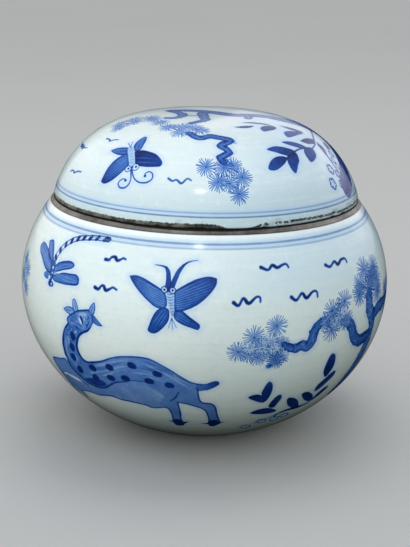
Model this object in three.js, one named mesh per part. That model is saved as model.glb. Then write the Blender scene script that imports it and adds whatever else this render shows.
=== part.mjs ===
// A covered pot of porcelain: a round-bellied pot, a thin metal band folded over its mouth,
// and a domed cover that sits on the band and is kept in place by a flange inside the mouth.
// Millimetres, +Z up. The origin is the middle of the foot's resting plane, on the turning axis.
import * as THREE from 'three';

// The pot's outside
const bellyRadius = 95;
const bellyHeight = 75;
const footRadius = 36;
const footWidth = 3.2;
const baseRecess = 2.8;
const recessSlope = 1.2;

// The pot's walls and mouth
const bellyWall = 5.5;
const floorThickness = 7.5;
const seatHeight = 119.4;
const lipDepth = 3.5;

// The metal band over the mouth
const bandThickness = 0.8;
const bandProud = 0.3;
const bandBevelDrop = 2.2;
const bandBevelRun = 2.06;
const seatWidth = 6.7;
const bandSkirtDepth = 4.5;
const bandEdgeRound = 0.35;
const bandGap = 0.3;

// The cover
const coverRadius = 78.1;
const coverRise = 42;
const crownFullness = 3.5;
const sideFullness = 1.37;
const coverWall = 5;
const crownThickness = 5.5;
const coverEdgeChamfer = 0.7;
const coverOverhang = 0.4;

// The flange inside the cover's edge
const flangeThickness = 3.8;
const flangeDepth = 7;
const flangePlay = 1.2;
const flangeCove = 1.5;
const ledgeRise = 4.5;

// How finely the curves are divided
const turnSteps = 72;
const longArcSteps = 10;
const shortArcSteps = 7;
const roundSteps = 4;

// The widths and heights that follow from the sizes above
const bandBottom = seatHeight - bandBevelDrop;
const bandTopInside = seatHeight - bandThickness;
const bandTopRadius = coverRadius - coverOverhang;
const bandLowRadius = bandTopRadius + bandBevelRun;
const mouthRadius = bandTopRadius - seatWidth;
const lipInsideRadius = mouthRadius + bandThickness + bandGap;
const floorHeight = baseRecess + floorThickness;

// The exponent at which a rounded arc is a plain ellipse
const ellipse = 2;

// Points along a quarter of a rounded arc, from the angle `from` to the angle `to`, both in radians.
// Angle 0 is the widest level at `height`, and a quarter turn is the axis.
function arc({ radius, height, rise, crown = ellipse, side = ellipse, from, to, steps }) {
  const points = [];
  for (let i = 0; i <= steps; i += 1) {
    const angle = THREE.MathUtils.lerp(from, to, i / steps);
    const across = radius * Math.max(Math.cos(angle), 0) ** (ellipse / crown);
    const up = rise * Math.max(Math.sin(angle), 0) ** (ellipse / side);
    points.push(new THREE.Vector2(across, height + up));
  }
  return points;
}

// The angle at which an arc's radius, or its rise, is the given share of its full size
const angleAtRadius = (share, crown = ellipse) => Math.acos(share ** (crown / ellipse));
const angleAtRise = (share, side = ellipse) => Math.asin(share ** (side / ellipse));

// Points along a circle's arc between two angles in degrees, for rounded edges
function roundedEdge(centreRadius, centreHeight, radius, fromDegrees, toDegrees) {
  const points = [];
  for (let i = 0; i <= roundSteps; i += 1) {
    const angle = THREE.MathUtils.degToRad(THREE.MathUtils.lerp(fromDegrees, toDegrees, i / roundSteps));
    points.push(new THREE.Vector2(centreRadius + radius * Math.cos(angle), centreHeight + radius * Math.sin(angle)));
  }
  return points;
}

// The radius on the band's bevel at a height, measured on a face that lies `inward` under its outer face
function bevelRadiusAt(height, inward) {
  const slant = Math.hypot(bandBevelRun, bandBevelDrop);
  const shiftedTop = seatHeight - (inward * bandBevelRun) / slant;
  const shiftedRadius = bandTopRadius - (inward * bandBevelDrop) / slant;
  return shiftedRadius + ((shiftedTop - height) * bandBevelRun) / bandBevelDrop;
}

// A profile turned about the Z axis. The profile is listed anticlockwise, with the radius across.
function turned(profile) {
  const geometry = new THREE.LatheGeometry(profile, turnSteps);
  geometry.rotateX(Math.PI / 2);
  return geometry;
}

function mesh(name, geometry, colour, roughness, metalness) {
  const material = new THREE.MeshStandardMaterial({ color: colour, roughness, metalness });
  const piece = new THREE.Mesh(geometry, material);
  piece.name = name;
  return piece;
}

// The pot's outside from the edge of the foot to the step under the band. The shoulder's curve is the
// one that passes just inside the band's lower edge.
function potOutside() {
  const lowerRise = bellyHeight / Math.sqrt(1 - (footRadius / bellyRadius) ** 2);
  const shoulderAngle = angleAtRadius((bandLowRadius - bandProud) / bellyRadius);
  const shoulderRise = (bandBottom - bellyHeight) / Math.sin(shoulderAngle);
  const stepHeight = bandBottom - bandGap;
  const lower = arc({
    radius: bellyRadius,
    height: bellyHeight,
    rise: -lowerRise,
    from: angleAtRadius(footRadius / bellyRadius),
    to: 0,
    steps: longArcSteps,
  });
  const upper = arc({
    radius: bellyRadius,
    height: bellyHeight,
    rise: shoulderRise,
    from: 0,
    to: angleAtRise((stepHeight - bellyHeight) / shoulderRise),
    steps: shortArcSteps,
  });
  return [...lower, ...upper.slice(1)];
}

// The pot's inside from the lip down to the middle of the floor
function potInside() {
  const insideRadius = bellyRadius - bellyWall;
  const lipFoot = bandTopInside - lipDepth;
  const lipAngle = angleAtRadius(lipInsideRadius / insideRadius);
  const upper = arc({
    radius: insideRadius,
    height: bellyHeight,
    rise: (lipFoot - bellyHeight) / Math.sin(lipAngle),
    from: lipAngle,
    to: 0,
    steps: shortArcSteps,
  });
  const lower = arc({
    radius: insideRadius,
    height: bellyHeight,
    rise: floorHeight - bellyHeight,
    from: 0,
    to: Math.PI / 2,
    steps: longArcSteps,
  });
  return [...upper, ...lower.slice(1)];
}

function potBody() {
  const stepHeight = bandBottom - bandGap;
  const underBand = bandThickness + bandGap;
  const foot = [
    new THREE.Vector2(0, baseRecess),
    new THREE.Vector2(footRadius - footWidth - recessSlope, baseRecess),
    new THREE.Vector2(footRadius - footWidth, 0),
  ];
  const lip = [
    new THREE.Vector2(bevelRadiusAt(stepHeight, underBand), stepHeight),
    new THREE.Vector2(bevelRadiusAt(bandTopInside, underBand), bandTopInside),
    new THREE.Vector2(lipInsideRadius, bandTopInside),
  ];
  const profile = [...foot, ...potOutside(), ...lip, ...potInside()];
  return mesh('pot_body', turned(profile), 0xd3dee0, 0.16, 0);
}

// The band is a strip folded over the lip: a bevelled skirt outside, a flat seat and a short skirt inside
function mouthBand() {
  const skirtBottom = seatHeight - bandSkirtDepth;
  const bevelAngle = THREE.MathUtils.radToDeg(Math.atan2(bandBevelRun, bandBevelDrop));
  const edge = bandEdgeRound;
  const outerEdge = roundedEdge(
    bandTopRadius - edge * Math.tan(THREE.MathUtils.degToRad(90 - bevelAngle) / 2),
    seatHeight - edge,
    edge,
    bevelAngle,
    90,
  );
  const innerEdge = roundedEdge(mouthRadius + edge, seatHeight - edge, edge, 90, 180);
  const profile = [
    new THREE.Vector2(bevelRadiusAt(bandBottom, bandThickness), bandBottom),
    new THREE.Vector2(bandLowRadius, bandBottom),
    ...outerEdge,
    ...innerEdge,
    new THREE.Vector2(mouthRadius, skirtBottom),
    new THREE.Vector2(mouthRadius + bandThickness, skirtBottom),
    new THREE.Vector2(mouthRadius + bandThickness, bandTopInside),
    new THREE.Vector2(bevelRadiusAt(bandTopInside, bandThickness), bandTopInside),
  ];
  profile.push(profile[0].clone());
  return mesh('mouth_band', turned(profile), 0x6a625b, 0.42, 0.85);
}

function cover() {
  const flangeRadius = mouthRadius - flangePlay;
  const flangeInside = flangeRadius - flangeThickness;
  const flangeRound = flangeThickness / 2;
  const insideRadius = coverRadius - coverWall;
  const insideRise = coverRise - crownThickness;
  const dome = { height: seatHeight, crown: crownFullness, side: sideFullness, steps: longArcSteps };
  const inside = arc({
    ...dome,
    radius: insideRadius,
    rise: insideRise,
    from: Math.PI / 2,
    to: angleAtRise(ledgeRise / insideRise, sideFullness),
  });
  const outside = arc({
    ...dome,
    radius: coverRadius,
    rise: coverRise,
    from: angleAtRise(coverEdgeChamfer / coverRise, sideFullness),
    to: Math.PI / 2,
  });
  const flangeEnd = roundedEdge(
    flangeInside + flangeRound,
    seatHeight - flangeDepth + flangeRound,
    flangeRound,
    180,
    360,
  );
  const profile = [
    ...inside,
    new THREE.Vector2(flangeInside + flangeCove, seatHeight + flangeCove * 2),
    new THREE.Vector2(flangeInside, seatHeight + flangeCove),
    ...flangeEnd,
    new THREE.Vector2(flangeRadius, seatHeight),
    new THREE.Vector2(coverRadius - coverEdgeChamfer, seatHeight),
    ...outside,
  ];
  return mesh('cover', turned(profile), 0xd6e0e2, 0.16, 0);
}

const pot = new THREE.Group();
pot.add(potBody());
pot.add(mouthBand());
pot.add(cover());

export default pot;
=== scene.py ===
import math
import random

import bpy
import numpy as np
from mathutils import Matrix, Vector, noise
from mathutils.geometry import delaunay_2d_cdt


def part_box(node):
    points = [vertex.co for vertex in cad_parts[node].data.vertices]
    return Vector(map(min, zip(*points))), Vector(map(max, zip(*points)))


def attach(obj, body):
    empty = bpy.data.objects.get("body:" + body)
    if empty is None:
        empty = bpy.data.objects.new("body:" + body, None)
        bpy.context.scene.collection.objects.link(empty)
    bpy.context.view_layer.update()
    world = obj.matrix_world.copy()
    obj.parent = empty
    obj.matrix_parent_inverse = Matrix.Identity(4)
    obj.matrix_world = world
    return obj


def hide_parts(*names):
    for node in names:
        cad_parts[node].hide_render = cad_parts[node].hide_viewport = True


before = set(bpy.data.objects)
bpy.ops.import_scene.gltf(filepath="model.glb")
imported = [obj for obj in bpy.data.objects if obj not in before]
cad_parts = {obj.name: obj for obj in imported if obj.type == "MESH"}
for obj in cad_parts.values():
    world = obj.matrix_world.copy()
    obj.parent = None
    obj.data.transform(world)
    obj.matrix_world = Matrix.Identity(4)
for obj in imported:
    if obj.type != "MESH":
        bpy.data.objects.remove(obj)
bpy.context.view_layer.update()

MM = 0.001
FULL_TURN = 2 * math.pi

# Sizes read from the frame
belly_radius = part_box("pot_body")[1][0] / MM
lip_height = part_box("pot_body")[1][2] / MM
band_skirt_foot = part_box("mouth_band")[0][2] / MM
band_low_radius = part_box("mouth_band")[1][0] / MM
seat_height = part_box("mouth_band")[1][2] / MM
flange_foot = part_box("cover")[0][2] / MM
cover_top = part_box("cover")[1][2] / MM

# The pot's wall
belly_height = 75.0
foot_radius = 36.0
foot_width = 3.2
base_recess = 2.8
recess_slope = 1.2
belly_wall = 5.5
floor_height = 10.3
lip_depth = 3.5
lip_round = 0.6
band_gap = 0.3

# The band
band_thickness = 0.8
band_proud = 0.3
band_bevel_drop = 2.2
band_bevel_run = 2.06
band_edge_round = 0.35
mouth_radius = 71.0

# The cover
cover_radius = 78.1
cover_rise = cover_top - seat_height
crown_fullness = 3.5
side_fullness = 1.37
cover_wall = 5.0
crown_thickness = 5.5
cover_edge_chamfer = 0.7
flange_thickness = 3.8
flange_play = 1.2
flange_cove = 1.5
ledge_rise = 4.5

# Sizes that follow from those above
band_foot = seat_height - band_bevel_drop
band_top_radius = band_low_radius - band_bevel_run
lip_inside_radius = mouth_radius + band_thickness + band_gap
step_height = band_foot - band_gap

# The painted ring lines: height, width and strength of each
pot_rings = ((114.0, 0.8, 0.74), (112.1, 0.7, 0.46))
cover_rings = ((127.0, 0.62, 0.55), (125.2, 0.68, 0.85))
ring_dip = 0.007

# How finely the pieces are divided
ring_points = 360
edge_points = 720
skin_spacing = 2.8
merge_distance = 1e-4
ring_tolerance = 1e-3
tiny = 1e-9

# How wide the soft edge of a brush mark is
soft_edge = 0.38


# Turned walls

def turned(turn, radius):
    """How far to the right and how far away from the viewer a place lies."""
    return radius * np.sin(turn), -radius * np.cos(turn)


def rounded_arc(radius, height, rise, start, stop, steps, crown=2.0, side=2.0):
    """Points on a quarter of a rounded arc. Angle 0 is the widest level, and a quarter turn is the axis."""
    angle = np.linspace(start, stop, steps)
    across = radius * np.cos(angle).clip(0) ** (2 / crown)
    up = height + rise * np.sin(angle).clip(0) ** (2 / side)
    return np.column_stack([across, up])


def round_corner(centre, radius, start, stop, steps=5):
    """Points on a circle's arc between two angles in degrees."""
    angle = np.radians(np.linspace(start, stop, steps))
    return np.column_stack([centre[0] + radius * np.cos(angle), centre[1] + radius * np.sin(angle)])


class Wall:
    """A turned wall: its radius, height and outward direction at any length along its profile."""

    def __init__(self, profile, outward=1):
        self.radius, self.height = np.asarray(profile, float).T
        steps = np.hypot(np.diff(self.radius), np.diff(self.height))
        self.run = np.concatenate([[0], np.cumsum(steps)])
        self.lean_out = outward * np.gradient(self.height, self.run)
        self.lean_up = -outward * np.gradient(self.radius, self.run)

    def place(self, turn, run):
        radius = np.interp(run, self.run, self.radius)
        height = np.interp(run, self.run, self.height)
        return np.column_stack([*turned(turn, radius), height])

    def facing(self, turn, run):
        out = np.interp(run, self.run, self.lean_out)
        up = np.interp(run, self.run, self.lean_up)
        facing = np.column_stack([*turned(turn, out), up])
        return facing / np.linalg.norm(facing, axis=1)[:, None]


def pot_wall():
    lower_rise = belly_height / math.sqrt(1 - (foot_radius / belly_radius) ** 2)
    shoulder_turn = math.acos((band_low_radius - band_proud) / belly_radius)
    shoulder_rise = (band_foot - belly_height) / math.sin(shoulder_turn)
    foot_turn = math.acos(foot_radius / belly_radius)
    step_turn = math.asin((step_height - belly_height) / shoulder_rise)
    lower = rounded_arc(belly_radius, belly_height, -lower_rise, foot_turn, 0, 400)
    upper = rounded_arc(belly_radius, belly_height, shoulder_rise, 0, step_turn, 200)
    return Wall(np.vstack([lower, upper[1:]]))


def cover_wall_outside():
    edge_turn = math.asin((cover_edge_chamfer / cover_rise) ** (side_fullness / 2))
    outside = rounded_arc(
        cover_radius, seat_height, cover_rise, math.pi / 2, edge_turn, 900, crown_fullness, side_fullness
    )
    outside[0, 0] = 0
    return Wall(outside, outward=-1)


class FlatMap:
    """A seamless flat map of a wall. `reach` is the map's radius at each point of the profile."""

    axis_limit = 1e-3

    def __init__(self, wall, reach):
        self.wall = wall
        self.reach = reach

    def lay(self, turn, run):
        return np.column_stack(turned(turn, np.interp(run, self.wall.run, self.reach)))

    def find(self, points):
        turn = np.arctan2(points[:, 0], -points[:, 1])
        run = np.interp(np.hypot(points[:, 0], points[:, 1]), self.reach, self.wall.run)
        return turn, run

    def size(self, points):
        """Millimetres on the wall for one unit of the map."""
        reach = np.hypot(points[:, 0], points[:, 1]).clip(self.axis_limit)
        radius = np.interp(reach, self.reach, self.wall.radius).clip(self.axis_limit)
        return radius / reach


def pot_map(wall):
    """The belly keeps its size on this map, and every small shape keeps its form."""
    middle_radius = (wall.radius[1:] + wall.radius[:-1]) / 2
    growth = np.concatenate([[0], np.cumsum(np.diff(wall.run) / middle_radius)])
    widest = np.argmax(wall.radius)
    return FlatMap(wall, belly_radius * np.exp(growth - growth[widest]))


# Lines and outlines, as rows of points

def smooth(points, step=1.2, closed=False):
    """A smooth line through chosen points, a Catmull-Rom curve, with a point at about every step."""
    points = np.asarray(points, float)
    count = len(points)
    spans = count if closed else count - 1
    out = []
    for i in range(spans):
        if closed:
            around = [points[(i + k) % count] for k in (-1, 0, 1, 2)]
        else:
            around = [points[min(max(i + k, 0), count - 1)] for k in (-1, 0, 1, 2)]
        before, start, end, after = around
        parts = max(1, int(round(np.hypot(*(end - start)) / step)))
        for share in np.arange(parts) / parts:
            out.append(0.5 * (
                2 * start
                + (end - before) * share
                + (2 * before - 5 * start + 4 * end - after) * share ** 2
                + (3 * start - before - 3 * end + after) * share ** 3
            ))
    if not closed:
        out.append(points[-1])
    return np.array(out)


def heading(angle):
    return np.array([math.cos(angle), math.sin(angle)])


def sideways(line, closed=False):
    """A unit step to the right of the way along the line, at each of its points."""
    if closed:
        along = np.roll(line, -1, 0) - np.roll(line, 1, 0)
    else:
        along = np.gradient(line, axis=0)
    length = np.hypot(along[:, 0], along[:, 1]).clip(tiny)
    return np.column_stack([along[:, 1], -along[:, 0]]) / length[:, None]


def anticlockwise(outline):
    x, y = outline.T
    area = np.sum(x * np.roll(y, -1) - np.roll(x, -1) * y)
    return outline if area > 0 else outline[::-1]


def half_widths(width, count):
    """Half the width at each point of a line, from the few widths given for it."""
    width = np.atleast_1d(np.asarray(width, float))
    return np.interp(np.linspace(0, 1, count), np.linspace(0, 1, len(width)), width) / 2


def nearest(points, line):
    """The distance from each point to a line, and how far along the line the nearest place lies."""
    edge = np.diff(line, axis=0)
    gap = points[:, None] - line[None, :-1]
    share = ((gap * edge).sum(2) / (edge ** 2).sum(1).clip(tiny ** 2)).clip(0, 1)
    off = gap - share[..., None] * edge
    distance = np.hypot(off[..., 0], off[..., 1])
    best = distance.argmin(1)
    rows = np.arange(len(points))
    return distance[rows, best], (best + share[rows, best]) / len(edge)


def inside(points, outline):
    """Whether a line to the right of each point crosses the outline an odd number of times."""
    ahead = np.roll(outline, -1, 0)
    x, y = points[:, 0, None], points[:, 1, None]
    crosses = (outline[:, 1] > y) != (ahead[:, 1] > y)
    rise = np.where(ahead[:, 1] == outline[:, 1], tiny, ahead[:, 1] - outline[:, 1])
    meet = outline[:, 0] + (y - outline[:, 1]) / rise * (ahead[:, 0] - outline[:, 0])
    return (crosses & (x < meet)).sum(1) % 2 == 1


# The painting: brush marks on a flat map

class Mark:
    """One touch of the brush on a flat map: a filled patch, or a stroke where `half` gives its half widths.
    A mark with `lift` takes paint off as well, and one with `halo` leaves a faint stain round it."""

    end_round = 0.71

    def __init__(self, line, tone, soft, half=None, lift=False, halo=True):
        self.line = line
        self.tone = tone
        self.soft = soft
        self.half = half
        self.lift = lift
        self.halo = halo

    def outlines(self, size):
        """The lines that the mesh follows, so that the mark's edge stays crisp."""
        edge = (self.soft / 2 / size)[:, None]
        if self.half is None:
            out = sideways(self.line, closed=True)
            yield self.line + out * edge, True
            yield self.line - out * edge, True
            return
        out = sideways(self.line)
        yield self.around(out, (self.half / size)[:, None] + edge), True
        if self.half.max() > self.soft:
            yield self.around(out, ((self.half / size)[:, None] - edge).clip(0.02)), True
        else:
            yield self.line, False

    def around(self, out, wide):
        """The outline of a stroke with round ends."""
        along = np.column_stack([-out[:, 1], out[:, 0]])
        first = [self.line[0] + (-along[0] + out[0] * side) * wide[0] * self.end_round for side in (-1, 1)]
        last = [self.line[-1] + (along[-1] + out[-1] * side) * wide[-1] * self.end_round for side in (1, -1)]
        start = self.line[0] - along[0] * wide[0]
        end = self.line[-1] + along[-1] * wide[-1]
        right, left = self.line + out * wide, (self.line - out * wide)[::-1]
        return np.vstack([start, first[1], right, last[0], end, last[1], left, first[0]])

    def cover(self, points, size):
        """How much paint each point gets, from 0 to 1, its tone, and its distance outside the mark."""
        if self.half is None:
            loop = np.vstack([self.line, self.line[:1]])
            away, along = nearest(points, loop)
            away = np.where(inside(points, self.line), -away, away) * size
        else:
            away, along = nearest(points, self.line)
            half = np.interp(along, np.linspace(0, 1, len(self.half)), self.half)
            away = away * size - half
        amount = (0.5 - away / self.soft).clip(0, 1)
        return amount, self.tone_at(points, along), away

    def tone_at(self, points, along):
        if np.isscalar(self.tone):
            return np.full(len(points), float(self.tone))
        if self.half is not None:
            return np.interp(along, np.linspace(0, 1, len(self.tone)), self.tone)
        (start, first), (end, last) = self.tone
        way = end - start
        share = ((points - start) @ way / (way @ way)).clip(0, 1)
        return first + (last - first) * share


class Painting:
    """All the brush marks on one wall, in the order they are painted."""

    halo_reach = 2.4
    halo_fade = 1.5
    overlap_gain = 0.06

    def __init__(self, flat_map):
        self.map = flat_map
        self.marks = []

    def paint(self, points):
        """The strength of the blue at each point, and the faint stain that spreads round the marks."""
        size = self.map.size(points)
        ink = np.zeros(len(points))
        stain = np.zeros(len(points))
        order = np.argsort(points[:, 0])
        sorted_x = points[order, 0]
        for mark in self.marks:
            scale = self.map.size(mark.line).min()
            widest = 0 if mark.half is None else mark.half.max()
            reach = (self.halo_reach + mark.soft + widest) / scale
            low, high = mark.line.min(0) - reach, mark.line.max(0) + reach
            first, last = np.searchsorted(sorted_x, (low[0], high[0]))
            near = order[first:last]
            near = near[(points[near, 1] > low[1]) & (points[near, 1] < high[1])]
            if not len(near):
                continue
            amount, tone, away = mark.cover(points[near], size[near])
            if mark.lift:
                ink[near] = ink[near] * (1 - amount) + tone * amount
                continue
            fresh = tone * amount
            ink[near] = np.maximum(ink[near], fresh) + self.overlap_gain * np.minimum(ink[near], fresh)
            if mark.halo:
                halo = tone * (1 - away / self.halo_reach).clip(0, 1) ** self.halo_fade
                stain[near] = np.maximum(stain[near], halo)
        return ink.clip(0, 1), stain.clip(0, 1)


class Sheet:
    """A place on a painting. Marks on it are given in millimetres across and up."""

    def __init__(self, painting, lay):
        self.painting = painting
        self.lay = lay

    def patch(self, outline, tone, soft=soft_edge, step=1.1, **how):
        line = anticlockwise(self.lay(smooth(outline, step, closed=True)))
        if not np.isscalar(tone):
            tone = [(self.lay(np.array([spot], float))[0], strength) for spot, strength in tone]
        self.painting.marks.append(Mark(line, tone, soft, **how))

    def stroke(self, line, width, tone, soft=soft_edge, step=1.1, **how):
        line = smooth(line, step)
        half = half_widths(width, len(line))
        self.painting.marks.append(Mark(self.lay(line), tone, soft, half=half, **how))

    def border(self, outline, width, tone, **how):
        self.stroke([*outline, outline[0]], width, tone, **how)

    def ring(self, centre, radius, width, tone, **how):
        points = round_corner((0, 0), 1, 0, 360, 11) * radius + centre
        self.stroke(points, width, tone, step=radius, **how)

    def dot(self, centre, radius, tone, **how):
        angle = np.linspace(0, FULL_TURN, 8, endpoint=False)
        points = np.column_stack([np.cos(angle), np.sin(angle)]) * radius + centre
        self.patch(points, tone, step=radius, **how)


def pot_sheet(painting, degrees, mirror=False, lifted=0.0):
    """A sheet on the pot's wall: across from a turn in degrees, and up the wall from the foot."""
    side = -1 if mirror else 1
    wall = painting.map.wall

    def lay(points):
        run = points[:, 1] + lifted
        radius = np.interp(run, wall.run, wall.radius)
        turn = math.radians(degrees) + side * points[:, 0] / radius
        return painting.map.lay(turn, run)

    return Sheet(painting, lay)


def cover_sheet(painting, degrees=0.0, mirror=False):
    """A sheet on the cover, seen from above: across to the right, and up away from the viewer."""
    side = -1 if mirror else 1
    turn = math.radians(degrees)
    spin = np.array([[math.cos(turn), math.sin(turn)], [-math.sin(turn), math.cos(turn)]])

    def lay(points):
        return (points * (side, 1)) @ spin

    return Sheet(painting, lay)


# The motifs

# A stroke has the points it passes through, its widths from start to end in millimetres, and the strength of
# its blue, from 0 for bare glaze to 1. A patch has its outline and its strength, or the strengths at two
# places that it runs between. The washes are painted first and the fine lines over them.

def squiggle(sheet, line, width=1.2):
    """A small wave that stands for air: pressed hard at its start and its middle."""
    presses = np.array((1.4, 0.85, 1.4, 0.85, 0.7)) * width
    sheet.stroke(line, presses, (0.98, 0.88, 1.0, 0.9, 0.84), soft=0.6, step=0.6, halo=False)
    sheet.stroke(line, presses + 1.2, 0.07, soft=1.4, step=0.9, halo=False)


def leaf(sheet, outline, tone=0.97):
    start, end = outline[0], outline[len(outline) // 2]
    sheet.patch(outline, ((start, tone), (end, tone - 0.1)), step=0.8)


def brushed_leaf(sheet, base, tip, width):
    """A leaf laid with one press of the brush from its base to its tip."""
    base, tip = np.array(base, float), np.array(tip, float)
    bend = (tip - base)[::-1] * (-0.08, 0.08)
    line = [base, base + (tip - base) * 0.3 + bend, base + (tip - base) * 0.7 + bend, tip]
    sheet.stroke(line, (0.3, width, width * 0.9, 0.2), 0.92, step=0.9)


def needle_burst(sheet, centre, radius, seed, tone=0.72, wash=0.14, heart=0.8, count=22, width=0.42):
    """Pine needles drawn as a wheel, each pressed harder towards its outer end, over a thin wash."""
    draw = random.Random(seed)
    centre = np.array(centre, float)
    if wash:
        sheet.dot(centre, radius * 0.6, wash, soft=radius * 0.5, halo=False)
    lean = draw.uniform(0, FULL_TURN)
    for i in range(count):
        way = heading(lean + FULL_TURN * (i + draw.uniform(-0.3, 0.3)) / count)
        side = np.array([-way[1], way[0]]) * draw.uniform(-0.35, 0.35)
        start = centre + way * radius * draw.uniform(0.1, 0.2)
        middle = centre + way * radius * 0.6 + side
        end = centre + way * radius * draw.uniform(0.86, 1.08)
        pressed = tone + draw.uniform(-0.08, 0.1)
        sheet.stroke(
            [start, middle, end], (width * 0.35, width * 0.8, width), (tone, pressed, pressed),
            soft=0.3, step=radius, halo=False,
        )
    if heart:
        sheet.dot(centre, radius * 0.13, heart, soft=radius * 0.2, halo=False)


def needle_bursts(sheet, seed, bursts, tone=0.72, **how):
    """Bursts side by side: across, up and radius of each, and its own tone where it has one."""
    for i, (across, up, radius, *own_tone) in enumerate(bursts):
        needle_burst(sheet, (across, up), radius, seed + i, *(own_tone or [tone]), **how)


def pale_needles(sheet, centre, radius, seed):
    """Needles scratched back through the wash, which leave the pale ground."""
    draw = random.Random(seed)
    count = 13
    centre = np.array(centre, float)
    for i in range(count):
        way = heading(FULL_TURN * (i + draw.uniform(-0.3, 0.3)) / count)
        line = [centre + way * radius * 0.3, centre + way * radius * draw.uniform(0.7, 1.0)]
        sheet.stroke(line, (0.3, 0.6, 0.3), 0.06, lift=True, soft=0.4, step=radius)


def branch(sheet, line, width, seed, tone=0.68, edge=0.88):
    """A pine branch: a filled stroke with a knobbly darker rim and short marks for the bark."""
    draw = random.Random(seed)
    rim_inset = 0.35
    bark_share = 0.65
    line = smooth(line, 2.0)
    half = half_widths(width, len(line))
    out = sideways(line)
    sheet.stroke(line, 2 * half - 0.2, tone, soft=0.6, step=2.0)
    for side in (-1, 1):
        rim = line + out * (side * (half - rim_inset))[:, None]
        for i in range(len(rim) - 1):
            knob = (rim[i] + rim[i + 1]) / 2 + out[i] * side * draw.uniform(-0.1, 0.6)
            thick = draw.uniform(0.6, 1.15)
            dark = edge + draw.uniform(-0.06, 0.08)
            sheet.stroke([rim[i], knob, rim[i + 1]], (0.5, thick, 0.5), dark, soft=0.5)
    for i in range(1, len(line) - 1):
        ahead = line[i + 1] - line[i]
        across = out[i] * half[i]
        start = line[i] + across * draw.uniform(-0.5, 0.5)
        pale = tone - draw.uniform(0.1, 0.28)
        sheet.stroke([start, start + ahead * 0.9], (0.5, 1.1, 0.4), pale, lift=True, soft=0.8, step=1.5)
        for side in (-1, 1):
            if draw.random() < bark_share:
                start = line[i] + across * side * 0.75 + ahead * draw.uniform(-0.3, 0.3)
                end = start + ahead * draw.uniform(0.4, 0.9) - across * side * draw.uniform(0.3, 0.8)
                middle = (start + end) / 2 + ahead * 0.25
                sheet.stroke([start, middle, end], (0.9, 0.65, 0.3), edge - 0.04, soft=0.5, step=1.5)


def flower_ring(sheet, centre, radius, tone):
    """A small blossom: five round petals drawn with one thick line, over a thin wash."""
    petals = 5
    centre = np.array(centre, float)
    sheet.dot(centre, radius * 0.8, 0.16, soft=radius * 0.6, halo=False)
    notch = 0.68
    points = []
    for i in range(petals * 4):
        reach = radius * (notch if i % 4 == 0 else 1.0)
        points.append(centre + reach * heading(FULL_TURN * i / (petals * 4)))
    sheet.stroke(points + points[:2], (0.6, 0.95, 0.6, 0.95, 0.6), tone, step=0.9)


def wing(sheet, outline, base, tips, wash, tip_wash, vein):
    """A butterfly's wing: a wash that darkens outwards, fine paler veins side by side, and a firm edge."""
    bend = -0.08
    low, high = np.array(base, float)
    root = (low + high) / 2
    far = max(outline, key=lambda point: math.dist(point, root))
    sheet.patch(outline, ((root, wash), (far, tip_wash)), step=1.0)
    tones = (vein - 0.06, vein, vein + 0.16)
    for share, tip in zip(np.linspace(0, 1, len(tips)), tips):
        start = low + (high - low) * share
        middle = (start + tip) / 2 + (np.mean([low, high, far], axis=0) - (start + tip) / 2) * bend
        sheet.stroke([start, middle, tip], (0.4, 0.5, 0.14), tones, lift=True, soft=0.3, step=2.5)
    sheet.border(outline, (0.5, 0.8, 0.5, 0.7, 0.5), 0.88, step=1.0)


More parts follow.
